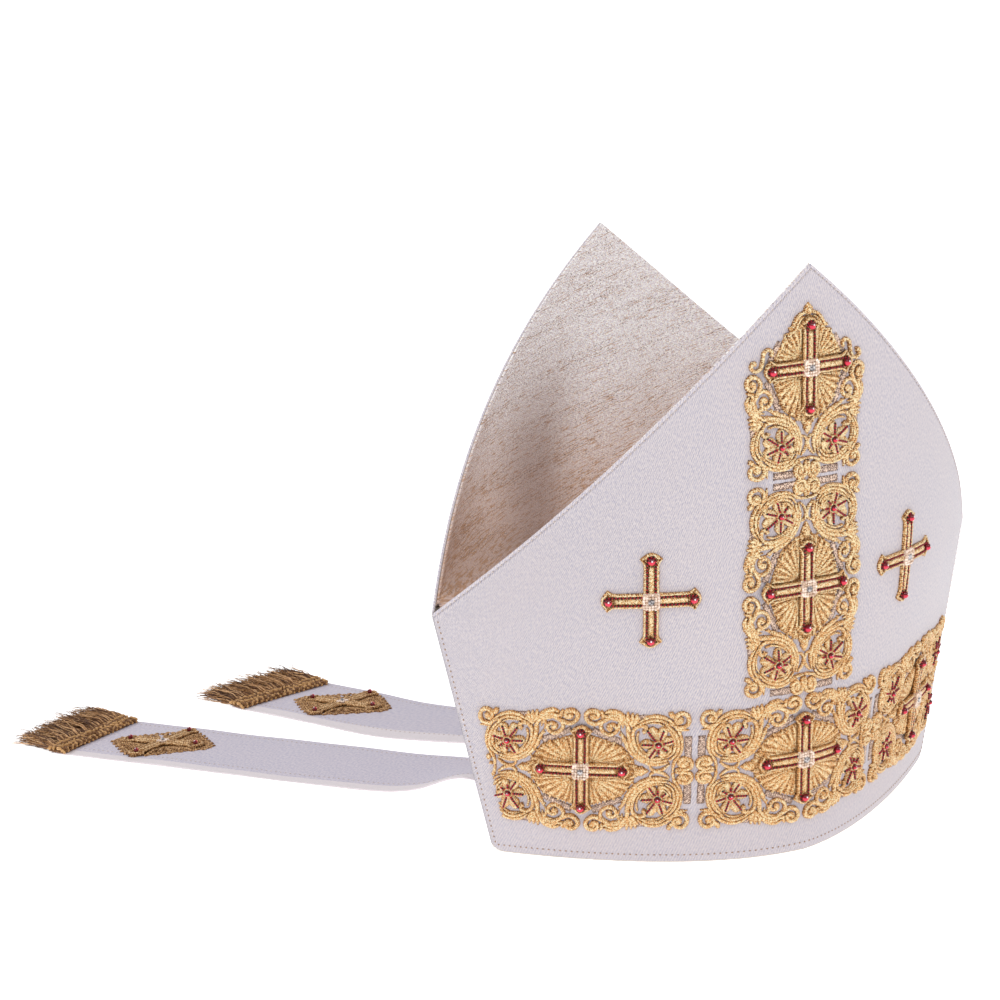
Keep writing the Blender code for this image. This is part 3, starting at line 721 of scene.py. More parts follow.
def beside_seam(heights, side, hand):
    """x of a row of stitches that keeps its distance, over the cloth, from a side seam."""
    seam = hand * half_width(heights)
    x = seam - hand * SEAM_STEP
    for _ in range(30):
        apart = wall_point(x, heights, side) - wall_point(seam, heights, side)
        short = np.linalg.norm(apart, axis=-1) < SEAM_STITCH_INSET
        x = x - hand * np.where(short, SEAM_STEP, 0.0)
    return x


for side, name in ((FRONT, "front"), (BACK, "back")):
    heights = np.linspace(RIM_STITCH_HEIGHT, SEAM_HEIGHT - 0.002, 40)
    rows = [(beside_seam(heights, side, hand), heights, tan_thread) for hand in (-1, 1)]
    along_rim = np.linspace(rows[0][0][0], rows[1][0][0], 160)
    rows.append((along_rim, np.full(160, RIM_STITCH_HEIGHT), tan_thread))
    x, z = column_top(np.linspace(-0.99, 0.99, 240), side)
    rows.append((x, z - EDGE_STITCH_INSET - SATIN_BOARD / 2, pale_thread))
    parts = []
    for x, z, thread in rows:
        above = wall_normal(x, z, side)
        line = wall_point(x, z, side) + MITRE
        parts.append(stitched("stitches", line, above, STITCH_PITCH, STITCH_SIZE, thread))
    stitches = joined(f"topstitching_{name}", parts)
    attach(stitches, "root")

# ---- Embroidered panels ---------------------------------------------------------------
# Five oblong panels of raised gold satin stitch, cut out and sewn on: three round the brow,
# two up the middle, the upper one gabled. Each has a lozenge with shell rays in the middle,
# a rosette in a ring of acanthus at each corner, and scrolls and volutes between them.

# A strip's section from left to right: place, height, and its painted light: a painted highlight on the crest
# that fades to painted shade at both edges.
ACROSS = np.array([1.0, 0.80, 0.42, 0.0, -0.42, -0.80, -1.0])
DOME = np.array([0.0, 0.60, 0.92, 1.0, 0.92, 0.60, 0.0])
CREST_LIGHT = np.array([0.0, 0.34, 0.80, 1.0, 0.80, 0.34, 0.0])
# A petal's painted light: painted highlights on both sides of its crest and painted shade at its edges.
PETAL_LIGHT = np.array([0.0, 0.70, 1.25, 0.95, 1.25, 0.70, 0.0])
SECTION = len(ACROSS)


class Needlework:
    """Raised satin stitch as closed, domed strips, in millimetres on the flat cloth."""

    def __init__(self, trim=0):
        self.chance = np.random.default_rng(11)
        self.trim, self.count = trim, 0
        self.points, self.faces, self.maps, self.crests, self.shades = [], [], [], [], []

    def add(self, points, faces, maps, crest):
        self.points.append(points)
        self.faces += [[self.count + i for i in face] for face in faces]
        self.maps.append(maps)
        self.crests.append(crest)
        self.shades.append(np.full(len(points), self.chance.random()))
        self.count += len(points)

    def stroke(self, path, width, height=1.3, taper=(0.5, 1, 1, 0.5), low=-0.05, step=0.8, crest=CREST_LIGHT):
        """One domed strip along a path. Where the panel is trimmed, so is the strip."""
        whole = eased(path, step)
        shares = np.linspace(0, 1, len(whole))
        kept = np.ones(len(whole), bool)
        if self.trim:
            inside = whole[:, 0] * self.trim < TRIM_AT + TRIM_LEAN * whole[:, 1]
            kept = inside | (whole[:, 1] > TRIM_BELOW)
        starts = np.flatnonzero(kept & ~np.roll(kept, 1) | kept & (np.arange(len(kept)) == 0))
        for start in starts:
            stop = start
            while stop < len(whole) and kept[stop]:
                stop += 1
            if stop - start >= 3:
                self.strip(whole[start:stop], shares[start:stop], width, height, taper, low, crest)

    def strip(self, path, shares, width, height, taper, low, crest):
        n = len(path)
        way = unit(np.gradient(path, axis=0))
        left = np.stack([-way[:, 1], way[:, 0]], -1)
        swell = np.interp(shares, np.linspace(0, 1, len(taper)), taper)
        half = width / 2 * swell * (1 + self.chance.normal(0, 0.07, n))
        flat = path[:, None] + left[:, None] * (half[:, None] * ACROSS)[..., None]
        rise = (height - low) * (0.35 + 0.65 * np.minimum(swell, 1.0))
        lift = low + (rise * (1 + self.chance.normal(0, 0.05, n)))[:, None] * DOME
        points = np.concatenate([flat, lift[..., None]], -1).reshape(-1, 3)
        run = arcs_of(path[None], 1)[0] + self.chance.random() * 50
        maps = np.stack([np.repeat(run, SECTION), (half[:, None] * ACROSS).ravel()], -1) * 0.001
        faces = grid_faces(n, SECTION).tolist()
        right = np.arange(n - 1) * SECTION
        left = right + SECTION - 1
        faces += np.stack([left, right, right + SECTION, left + SECTION], -1).tolist()
        faces += [list(range(SECTION))[::-1], list(range(SECTION * (n - 1), SECTION * n))]
        # Both ends of a strip get painted shade: their painted light drops to 0.45 of the rest.
        ends = np.ones(n)
        ends[[0, -1]] = 0.45
        self.add(points, faces, maps, (ends[:, None] * crest).ravel())

    def patch(self, outline, height, low=-0.05, crest=0.3):
        """A flat underlay. Its outline runs anticlockwise. Its one level of painted light is low, so it shows
        as painted shade between the strips.
        """
        outline = np.asarray(outline, float)
        n = len(outline)
        middle = outline.mean(0)
        levels = [(0.3, height), (0.62, height), (0.9, height)]
        levels += [(1.0, height * 0.5), (1.0, low), (0.5, low)]
        rings = [np.c_[middle + (outline - middle) * share, np.full(n, z)] for share, z in levels]
        points = np.concatenate([*rings, [[*middle, height]], [[*middle, low]]])
        faces = []
        top, under = n * len(levels), n * len(levels) + 1
        for i in range(n):
            j = (i + 1) % n
            faces.append([top, i, j])
            faces.append([under, under - 2 - (n - 1) + j, under - 2 - (n - 1) + i])
            for ring in range(len(levels) - 1):
                a, b = ring * n, (ring + 1) * n
                faces.append([a + i, b + i, b + j, a + j])
        self.add(points, faces, points[:, :2] * 0.001, np.full(len(points), crest))

    def made(self, name, lay, finish):
        """The work as one mesh, laid on its cloth."""
        points, maps = lay(np.concatenate(self.points)), np.concatenate(self.maps)
        made = piece(name, points, self.faces, [finish], maps)
        for label, values in (("shade", self.shades), ("crest", self.crests)):
            layer = made.data.attributes.new(label, "FLOAT", "POINT")
            layer.data.foreach_set("value", np.concatenate(values).astype(np.float32))
        return made


def ring_part(x, y, radius, start, stop):
    """Part of a circle, between two angles in degrees."""
    way = np.radians(np.linspace(start, stop, max(4, round(abs(stop - start) / 18))))
    return np.stack([x + radius * np.cos(way), y + radius * np.sin(way)], -1).tolist()


def turned_about(quarter):
    """A whole outline from its first quarter, which runs from one axis to the other."""
    back = quarter[::-1]
    return [*quarter, *back[1:] * (-1, 1), *quarter[1:] * (-1, -1), *back[1:-1] * (1, -1)]


GOLD_PITCH = 0.00105


def gold_thread(name, light, middle, dark, metal=0.2):
    """Gold thread across each strip: painted highlights on the crests, painted shade between, bolder higher
    up.
    """
    finish = Finish(name)
    cloth = finish.cloth()
    along, across, _ = finish.parts(cloth)
    wander = finish.noise(cloth, 700)
    ridges = waves(along + across * 0.8, GOLD_PITCH, wander * 3.4) * 0.5 + 0.5
    place = finish.place()
    grit = finish.noise(place, 1250, 1.0, 0.6).between(0.36, 0.64)
    bolder = finish.parts(place)[2].between(0.085, 0.150) * 0.55 + 1
    # Most of the tone is painted light: a painted highlight on each strip's crest and painted shade at its
    # edges.
    tone = finish.mark("crest") * 0.30 + ridges * 0.27 + grit * 0.42 + finish.mark("shade") * 0.06
    tone = (tone - 0.5) * bolder + 0.5
    stops = [(0.13, dark), (0.50, middle), (0.86, light)]
    ground = finish.node("ShaderNodeValToRGB", {"stops": stops}, {"Fac": tone})
    finish.relief(ridges * 0.35 + grit * 0.65, 0.00045)
    return finish.set(Base_Color=ground, Roughness=0.30 + 0.25 * grit, Metallic=metal)


gold = gold_thread("gold_thread", (1.0, 0.86, 0.53), (0.85, 0.425, 0.138), (0.20, 0.066, 0.014))
dull_gold = gold_thread("dull_gold", (0.96, 0.73, 0.58), (0.36, 0.235, 0.18), (0.11, 0.055, 0.04), 0.1)
red_ply = spun_thread("red_ply", (0.60, 0.010, 0.035), (0.30, 0.006, 0.018), 0.0006, 0.0, 0.42)
black_ply = spun_thread("black_ply", (0.025, 0.003, 0.005), (0.008, 0.002, 0.002), 0.0006, 0.0, 0.5)


def ruby_glass():
    """Red glass with painted shade above and at the rim, a painted glow below where light leaves it, and a
    painted glint.
    """
    finish = Finish("ruby_glass")
    right, up, out = finish.parts(finish.mark("spot", "Vector"))
    # Painted shade over the upper half and a painted glow below, then painted shade round the rim.
    ground = finish.mix(up.between(-0.10, 0.45), (0.80, 0.022, 0.070), (0.13, 0.002, 0.008))
    ground = finish.mix(1 - out.between(0.05, 0.40), ground, (0.16, 0.003, 0.010))
    # A painted highlight.
    glint = (right * 0.12 + up * 0.34 + out * 0.93).between(0.945, 0.975)
    ground = finish.mix(glint, ground, (1.0, 0.90, 0.90))
    return finish.set(Base_Color=ground, Roughness=0.12, Specular_IOR_Level=0.3, Coat_Weight=0.4)


ruby = ruby_glass()

PANEL_SCALE = 0.975
TRIM_AT, TRIM_LEAN, TRIM_BELOW = 45.0, 0.21, 18.0
ROSETTE = np.array([36.4, 14.1])
# A petal's way in degrees, reach and width, and a red stitch's way and reach.
PETALS = (
    (114, 9.2, 5.6), (72, 8.8, 5.4), (18, 7.6, 4.8), (180, 8.3, 5.2),
    (236, 8.2, 5.0), (288, 7.0, 4.2), (332, 6.0, 3.8),
)
RED_STITCHES = ((125, 8.9), (72, 7.8), (16, 7.0), (178, 7.8), (237, 7.2), (272, 4.6), (322, 4.8))


def fronds(draw, path, reach, width, count, lean=0.8, height=1.4):
    """Leaf tips along a scroll, on its left, or on its right where reach is negative."""
    whole = eased(path, 0.5)
    way = unit(np.gradient(whole, axis=0))
    for at in np.linspace(0.1, 0.92, count) * (len(whole) - 1):
        foot, ahead = whole[int(at)], way[int(at)]
        out = np.array([-ahead[1], ahead[0]]) * np.sign(reach)
        tip = foot + (out + ahead * lean) * abs(reach)
        draw([foot - ahead * 0.4, (foot + tip) / 2, tip], width, height, (0.8, 1.0, 0.3))


def heading(degrees):
    return np.array([math.cos(math.radians(degrees)), math.sin(math.radians(degrees))])


def rosette(work, across, up):
    """Seven padded petals with painted highlights along both sides, and a ring round the bead."""
    heart = ROSETTE * (across, up) * PANEL_SCALE
    for number, (way, reach, width) in enumerate(PETALS):
        ahead = heading(way) * (across, up)
        tall = 1.75 + 0.16 * (number % 3)
        spine = [heart + ahead * 1.5, heart + ahead * reach * 0.6, heart + ahead * reach]
        work.stroke(spine, width, tall, (0.35, 0.80, 1.0, 0.92, 0.45), crest=PETAL_LIGHT)
    work.stroke(ring_part(*heart, 1.9, 0, 360), 1.1, 2.4, (1, 1))


def corner_scrolls(work, across, up):
    """A quarter of a panel: ring, rosette, scrolls and volutes."""

    def draw(path, width, height=1.4, taper=(0.5, 1, 1, 0.5)):
        work.stroke(np.asarray(path) * (across, up) * PANEL_SCALE, width, height, taper)

    # The ring of acanthus: the leaf beside the lozenge, in four strands, and its inner curl.
    leaf = [(41.5, 4.4), (36.0, 3.5), (31.0, 4.4), (26.2, 7.2), (22.8, 11.2), (20.6, 16.0), (18.4, 20.6)]
    draw(leaf, 2.1, 1.5, (0.5, 0.9, 1, 1, 1, 1.1, 1.1, 0.35))
    fronds(draw, leaf[2:], 1.3, 1.6, 6)
    draw([(41.0, 5.7), (35.4, 5.0), (30.4, 6.2), (26.4, 9.1), (23.8, 13.2), (22.4, 18.2),
          (21.8, 22.6), (21.6, 25.6)], 2.3, 1.7, (0.5, 1, 1, 1, 1, 1.1, 1, 0.6))
    draw([(39.6, 6.9), (34.8, 6.5), (30.6, 7.8), (27.2, 10.6), (25.0, 14.6), (24.2, 18.8), (25.0, 22.0),
          (27.4, 23.6), (30.0, 23.0), (30.5, 21.2), (29.0, 20.3)],
         2.1, 1.6, (0.4, 1, 1, 1, 1, 1, 1, 1.1, 1.2))
    draw([(33.0, 8.0), (29.2, 10.4), (27.0, 14.2), (26.3, 17.6), (27.0, 20.6)], 1.4, 1.5, (0.3, 1, 1, 0.8))
    # Its outer side, in three strands, and the folded leaf below the rosette.
    draw([(41.0, 25.2), (44.9, 21.6), (46.9, 17.2), (47.4, 12.7), (46.4, 8.4), (43.4, 4.9)], 1.9, 1.5)
    draw([(39.4, 24.4), (43.3, 20.6), (45.3, 16.6), (45.8, 12.6), (44.7, 8.4), (41.4, 5.6)], 2.2, 1.7)
    draw([(39.4, 22.9), (42.1, 19.9), (43.8, 16.2), (44.2, 12.7), (43.0, 9.1), (39.8, 6.8)], 1.9, 1.5)
    draw([(36.6, 7.8), (39.8, 8.4), (42.0, 10.6), (42.6, 13.8)], 1.7, 1.6, (0.3, 1, 1, 0.4))
    draw([(36.9, 9.2), (39.4, 9.8), (40.9, 11.8)], 1.5, 1.8, (0.3, 1, 0.4))
    # The arch over the ring, the volute at the corner, its bud and its leaf.
    arch = [(26.4, 25.0), (30.0, 27.4), (33.5, 28.3), (37.2, 28.0), (40.8, 26.5), (44.0, 24.0)]
    draw(arch, 1.9, 1.6, (0.5, 1, 1.1, 1, 0.7))
    under_arch = [(27.2, 24.2), (31.0, 26.0), (35.0, 26.6), (38.6, 25.7), (41.6, 23.6)]
    draw(under_arch, 1.8, 1.8, (0.5, 1, 1.1, 1, 0.6))
    draw([(30.0, 24.3), (33.4, 25.1), (36.6, 24.8), (39.6, 22.9)], 1.2, 1.4, (0.3, 1, 1, 0.5))
    draw([(41.0, 24.8), (44.5, 22.9), (47.5, 22.3), (49.8, 23.5), (50.5, 26.0), (49.4, 28.5),
          (47.0, 29.4), (44.9, 28.4), (44.1, 26.5), (45.1, 24.9), (46.8, 25.3), (46.9, 26.9)],
         2.3, 1.8, (0.5, 0.9, 1, 1, 1, 1, 1, 1.15))
    draw([(45.0, 26.2), (46.4, 26.5), (47.6, 26.9)], 3.3, 1.9, (0.8, 1, 0.8))
    draw([(41.8, 30.3), (42.2, 28.9), (43.7, 27.2)], 3.0, 1.7, (0.7, 1, 0.6))
    draw([(43.3, 23.3), (46.4, 21.3), (50.7, 20.7)], 2.0, 1.5, (0.7, 1, 0.3))
    # A fan of leaves where arch and scroll part.
    for x, y, width in ((21.8, 30.7, 2.3), (24.0, 30.2, 2.4), (26.2, 29.8, 2.3), (27.6, 27.7, 2.0)):
        bend = ((24.0 + x) / 2 + (x - 24.4) * 0.3, 27.0)
        draw([(24.1, 23.2), bend, (x, y)], width, 1.7, (0.5, 0.9, 1.1, 0.4))
    # The long scroll to the middle of the side: its stem, volute and crest of leaves.
    draw([(23.0, 20.6), (21.8, 24.0), (18.4, 27.2), (14.0, 27.9), (10.0, 25.9), (6.0, 24.4), (2.8, 26.1),
          (2.0, 29.0), (3.9, 31.0), (6.7, 30.9), (8.0, 29.0), (6.6, 27.6), (5.2, 28.6)], 2.4, 1.8,
         (0.5, 1, 1.1, 1, 1, 1, 1, 1, 1.1))
    draw([(4.2, 27.7), (5.4, 28.4), (6.6, 29.2)], 3.8, 1.9, (0.8, 1, 0.8))
    draw([(12.4, 22.0), (13.6, 22.2), (14.8, 22.5)], 2.8, 1.8, (0.8, 1, 0.8))
    crown = [(22.4, 25.2), (19.6, 28.4), (16.4, 30.4), (13.2, 31.0), (10.9, 30.0)]
    draw(crown, 2.6, 1.6, (0.5, 1, 1.1, 0.9, 0.5))
    draw([(21.0, 26.2), (17.8, 28.8), (14.6, 29.5), (11.8, 28.4), (9.4, 29.4)], 2.0, 1.9, (0.5, 1, 1, 1, 0.6))
    draw([(9.8, 27.6), (9.9, 29.6), (9.0, 31.3)], 2.1, 1.6, (0.8, 1, 0.6))
    # The small spiral under it, and the leaf behind that.
    draw([(13.4, 27.4), (10.4, 26.0), (9.0, 23.4), (10.1, 20.6), (13.2, 19.0), (16.0, 20.2), (16.7, 22.6),
          (14.9, 24.1), (12.8, 23.4), (12.9, 21.8), (14.3, 21.8)], 2.1, 1.6, (0.7, 1, 1, 1, 1, 1.15))
    draw([(18.2, 20.8), (17.4, 23.4), (19.0, 26.0)], 2.1, 1.4, (0.4, 1, 0.8))
    draw([(19.6, 22.4), (19.2, 24.6), (17.2, 26.6), (14.6, 26.6)], 1.7, 1.6, (0.4, 1, 1, 0.4))
    # The bean at the short side, the line that carries it, and the curl that ties the rings.
    draw([(44.4, 0.4), (46.5, 0.9), (49.4, 0.6), (51.8, 1.9), (52.0, 4.4), (49.9, 6.1), (47.3, 5.8),
          (46.2, 4.0), (47.8, 2.8), (49.8, 3.5)], 2.4, 1.8, (0.6, 1, 1, 1, 1.1, 1.2))
    draw([(47.2, 3.4), (49.2, 3.6), (50.8, 3.9)], 4.4, 1.9, (0.8, 1, 0.8))
    draw([(46.0, 7.2), (44.0, 4.4), (43.4, 1.6), (43.4, 0.0)], 1.7, 1.5, (0.7, 1, 1, 0.8))
    draw([(41.8, 3.6), (38.8, 1.1), (35.3, 0.2), (32.9, 1.6), (32.6, 3.9)], 1.6, 1.5, (0.6, 1, 1, 1, 0.7))


def shell_rays(work, across, up, rays, top, fat):
    """Rays that swell towards the lozenge's edge, each with a forked leaf at its tip."""
    for number, (start, bend, tip, width) in enumerate(rays):
        start, bend, tip = np.array([start, bend, tip]) * (across, up) * PANEL_SCALE
        work.stroke([start, bend, tip], width * fat, top + 0.2 * (number % 2), (0.3, 0.65, 1.0, 0.85))
        way = unit(tip - bend)
        side = way[::-1] * (-1, 1) * width * 0.33
        for hand in (-1, 1):
            leaf = [tip - way, tip + side * hand * 0.8, tip + way * 0.9 + side * hand]
            work.stroke(leaf, width * 0.55, top, (0.6, 1, 0.5))


LOZENGE = np.array(((26.5, 0), (24.6, 5.6), (20.0, 12.4), (17.0, 14.0), (4.5, 18.4), (0, 19.0)))
GABLE_LOZENGE = np.array(((24.6, 0), (22.0, 5.0), (16.0, 11.0), (12.0, 13.0), (4.5, 17.6)))
# The start, bend and tip of each ray, and its width.
LOZENGE_RAYS = (
    ((4.5, 5.4), (4.6, 12.0), (5.2, 17.2), 2.4),
    ((4.9, 5.4), (6.6, 11.6), (8.4, 16.4), 2.7),
    ((5.2, 5.2), (8.8, 10.6), (12.0, 15.0), 3.0),
    ((5.5, 5.0), (10.8, 9.4), (16.0, 13.6), 3.6),
    ((5.6, 4.8), (12.0, 7.6), (19.0, 11.6), 3.4),
    ((5.7, 4.4), (13.0, 5.8), (21.8, 8.6), 3.0),
    ((5.8, 4.2), (14.0, 4.4), (24.2, 5.2), 2.4),
    ((22.0, 3.2), (24.0, 2.8), (25.6, 2.2), 2.2),
)
GABLE_RAYS = (
    ((5.4, 4.5), (12.0, 4.4), (18.6, 4.6), 2.4),
    ((5.4, 4.8), (11.6, 5.8), (17.4, 7.4), 2.4),
    ((5.2, 5.0), (10.8, 7.6), (16.0, 10.2), 2.5),
    ((5.0, 5.2), (9.2, 8.6), (13.4, 12.2), 2.6),
    ((4.8, 5.4), (7.6, 9.8), (10.6, 13.8), 2.7),
    ((4.6, 5.6), (6.0, 11.0), (7.8, 15.6), 2.7),
    ((4.4, 5.8), (4.8, 12.0), (5.2, 17.0), 2.4),
)


def gable(work):
    """The upper panel's pointed end: a finial, leafy shoulders, and hooks beside the arms."""
    work.stroke(np.array([(24.4, 0), (26.0, 0), (29.9, 0)]) * PANEL_SCALE, 5.4, 2.0, (0.6, 1, 0.75, 0.05))
    for hand in (-1, 1):

        def draw(path, width, height=1.5, taper=(0.5, 1, 1, 0.5)):
            work.stroke(np.asarray(path) * (1, hand) * PANEL_SCALE, width, height, taper)

        shoulder = [(25.3, 1.4), (24.8, 3.8), (23.0, 6.2), (20.6, 7.6), (18.8, 8.8), (18.3, 10.4)]
        draw(shoulder, 2.0, 1.7, (0.7, 1, 1, 1, 0.7))
        draw([(23.6, 2.6), (22.2, 4.6), (19.8, 6.0), (17.4, 7.6), (16.2, 9.4), (16.4, 11.8)], 1.9, 1.9)
        draw([(21.4, 3.2), (19.6, 4.4), (17.2, 5.6)], 1.8, 1.6)
        draw([(16.4, 12.4), (14.4, 12.2), (12.6, 13.0), (10.4, 14.0), (7.6, 15.6), (5.0, 17.4)], 1.7, 1.6)
        fronds(draw, shoulder, -0.9, 1.5, 4)
        draw([(6.9, 19.4), (8.8, 18.8), (10.1, 20.9), (8.6, 22.9), (5.0, 23.5), (1.7, 24.5), (0.5, 27.0),
              (2.0, 29.0), (4.2, 28.6), (4.0, 26.9)], 2.0, 1.7, (1.1, 1, 1, 1, 1, 1, 1.2))


# The dull strips that show past the lozenge's sides and at the panel's edges.
STRIP_LOW, STRIP_STEP = 0.5, 1.5
LOZENGE_STRIP = ((5.0, 21.3), (12.0, 18.0), (19.4, 14.8))
GABLE_STRIP = ((4.0, 19.6), (8.4, 17.2), (13.0, 14.4))
EDGE_STRIPS = (((18.0, 27.4), (31.0, 27.4)), ((50.4, 5.0), (50.4, 17.4)))


def whole_panel(trim, gabled, top, fat):
    """Gold needlework of a panel, and the duller metallic strips under its edges."""
    work, strips = Needlework(trim), Needlework(trim)
    lozenge = np.array(turned_about(LOZENGE))
    if gabled:
        lower = lozenge[lozenge[:, 0] < 0.1]
        lozenge = np.concatenate([GABLE_LOZENGE, lower, GABLE_LOZENGE[:0:-1] * (1, -1)])
    # The lozenge's underlay carries little painted light, so it shows as painted shade between the rays.
    work.patch(lozenge * PANEL_SCALE, 0.7, crest=0.25)
    for across in (-1, 1):
        plain = not (gabled and across == 1)
        rays, edge = (LOZENGE_RAYS, LOZENGE_STRIP) if plain else (GABLE_RAYS, GABLE_STRIP)
        for up in (-1, 1):
            shell_rays(work, across, up, rays, top, fat)
            paths = [(edge, 3.4)]
            if plain:
                corner_scrolls(work, across, up)
                rosette(work, across, up)
                paths += [(path, 3.6) for path in EDGE_STRIPS]
            for path, width in paths:
                path = np.array(path) * (across, up) * PANEL_SCALE
                strips.stroke(path, width, STRIP_LOW, (1, 1), step=STRIP_STEP)
        if plain:
            point = np.array([(25.0, 0), (28.4, 0), (32.0, 0)]) * (across * PANEL_SCALE, 1)
            work.stroke(point, 5.2, 1.9, (0.8, 1, 0.75, 0.1))
    if gabled:
        gable(work)
    return work, strips


def lay_on_front(arc, z, quarter_turn=False):
    """Lays flat work in millimetres on the front, with its middle at arc and z."""

    def lay(flat):
        flat = np.asarray(flat) * 0.001
        u, v = (-flat[:, 1], flat[:, 0]) if quarter_turn else (flat[:, 0], flat[:, 1])
        return on_wall(np.stack([arc + u, z + v, flat[:, 2]], -1))

    return lay


def laid(flat, lay):
    """Flat places laid on the work, and the way up at each."""
    points = lay(flat)
    return points, lay(flat + (0, 0, 1)) - points


def corded(path, lift, lay, twist):
    """A twisted cord of red and black plies laid on the work."""
    pitch, thick, slant = twist
    path = eased(path, 0.3)
    points, above = laid(np.c_[path, np.full(len(path), lift)], lay)
    size = (thick * 0.0011, thick * 0.00075, thick * 0.0009)
    pitch = pitch * 0.002
    plies = ((red_ply, 0.25), (black_ply, 0.75))
    return [stitched("cord", points, above, pitch, size, ply, slant, first) for ply, first in plies]


def beads(name, places, radius, lay, finish, around=14, rings=8):
    """Round beads, each turned the same way on its cloth."""
    places = np.asarray(places, float)
    points, above = laid(places, lay)
    side = lay(places + (0.5, 0, 0)) - points
    return strewn(name, points, side, above, (radius * 0.001,) * 3, finish, around, rings)


BAND_LEFT, BAND_CENTRE, BAND_RIGHT, COLUMN_AT = -0.1058, -0.0013, 0.1032, -0.0016
BAND_MIDDLE, COLUMN_LOWER, COLUMN_UPPER = 0.0467, 0.1303, 0.2335
RED_STITCH_FROM, RED_STITCH_LIFT, HEART_LIFT, HEART_RADIUS = 2.4, 2.05, 2.5, 1.25
# A cord's pitch, thickness and slant.
RED_STITCH_TWIST = (0.66, 0.62, 0.62)
# Its place along and up the front, whether it is turned, which end is trimmed, and its gable.
panels = (
    ("band_panel_left", BAND_LEFT, BAND_MIDDLE, False, -1, False),
    ("band_panel_centre", BAND_CENTRE, BAND_MIDDLE, False, 0, False),
    ("band_panel_right", BAND_RIGHT, BAND_MIDDLE, False, 1, False),
    ("column_panel_lower", COLUMN_AT, COLUMN_LOWER, True, 0, False),
    ("column_panel_upper", COLUMN_AT, COLUMN_UPPER, True, 0, True),
)
for node, arc, z, turned, trim, gabled in panels:
    lay = lay_on_front(arc, z, turned)
    upright = lay_on_front(arc, z)
    top, fat = (1.75, 0.90) if turned else (1.5, 1.0)
    work, strips = whole_panel(trim, gabled, top, fat)
    parts = [work.made("work", lay, gold), strips.made("strips", lay, dull_gold)]
    hearts = []
    for across in (-1,) if gabled else (-1, 1):
        for up in (-1, 1):
            heart = ROSETTE * (across, up) * PANEL_SCALE
            hearts.append((*((-heart[1], heart[0]) if turned else heart), HEART_LIFT))
            for way, reach in RED_STITCHES:
                ahead = heading(way) * (across, up)
                stitch = [heart + ahead * RED_STITCH_FROM, heart + ahead * reach]
                parts += corded(stitch, RED_STITCH_LIFT, lay, RED_STITCH_TWIST)
    parts.append(beads("beads", hearts, HEART_RADIUS, upright, ruby))
    panel = joined(node + "_work", parts)
    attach(panel, "root")
    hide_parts(node)

# ---- Crosses --------------------------------------------------------------------------
# Nine padded crosses of gold satin stitch. On the seven on the front a twisted dark red cord runs
# along each arm and loops round the glass bead at its end. Five lie on the panels, two on the bare
# satin and two on the lappets.

ARM_BEAD, BEAD_RADIUS, SMALL_BEAD_RADIUS = 19.1, 1.75, 1.3
CROSS_THICK, ON_PANEL, CROSS_RISE, CORD_TWIST = 1.6, 1.5, 1.9, (0.82, 0.50, 0.55)
CROSS_EDGE = (
    (1.0, -3.35), (16.6, -3.35), (18.2, -4.0), (19.8, -5.1), (21.0, -3.9), (22.2, -2.1), (22.8, 0.0),
)


def padded_cross(name, lay, low, thick, thread=gold, loops=True):
    """One cross of gold and beads, with a cord when loops is set, its underside at a height in millimetres.
    """
    work, parts = Needlework(), []
    share = thick / CROSS_THICK
    plate, band, edge, cord = (low + share * lift for lift in (0.55, 1.65, 1.5, 1.2))
    for turn in range(4):
        way = turn * math.pi / 2
        spin = np.array([[math.cos(way), math.sin(way)], [-math.sin(way), math.cos(way)]])

        def draw(path, width, height, taper=(0.6, 1, 1, 0.6)):
            work.stroke(np.asarray(path, float) @ spin, width, height, taper, low)

        outline = [*CROSS_EDGE, *((x, -y) for x, y in CROSS_EDGE[-2::-1])]
        # The plate under the arms carries no painted light: its dark rim round the cross is a painted shadow.
        work.patch(np.array(outline) @ spin, plate, low, 0.0)
        draw([(2.5, 0), (10.0, 0), (16.4, 0)], 3.4 if loops else 3.7, band, (1, 1, 1, 0.9))
        for hand in (-1, 1):
            side = [(3.2, 2.85), (10.0, 2.85), (16.2, 2.85), (18.0, 3.4), (20.0, 5.0)]
            draw(np.array(side) * (1, hand), 1.5, edge, (1, 1, 1, 1, 0.5))
        cap = ring_part(ARM_BEAD, 0, 2.95, 64, -64)
        draw([(20.0, 4.6), *cap, (20.0, -4.6)], 1.5, edge, (0.5, 1, 1, 1, 0.5))
        if loops:
            loop = ring_part(ARM_BEAD, 0, 1.9, 110, -110)
            path = [(3.6, 1.9), (10.0, 1.9), (16.4, 1.9), *loop, (16.4, -1.9), (10.0, -1.9), (3.6, -1.9)]
            parts += corded(np.array(path) @ spin, cord, lay, CORD_TWIST)
    ways = np.arange(4) * math.pi / 2
    lift = low + thick + BEAD_RADIUS * 0.1
    radius = BEAD_RADIUS if loops else SMALL_BEAD_RADIUS
    places = np.stack([ARM_BEAD * np.cos(ways), ARM_BEAD * np.sin(ways), np.full(4, lift)], -1)
    parts.append(beads("beads", places, radius, lay, ruby, 16, 10))
    return joined(name, [work.made("gold", lay, thread), *parts])


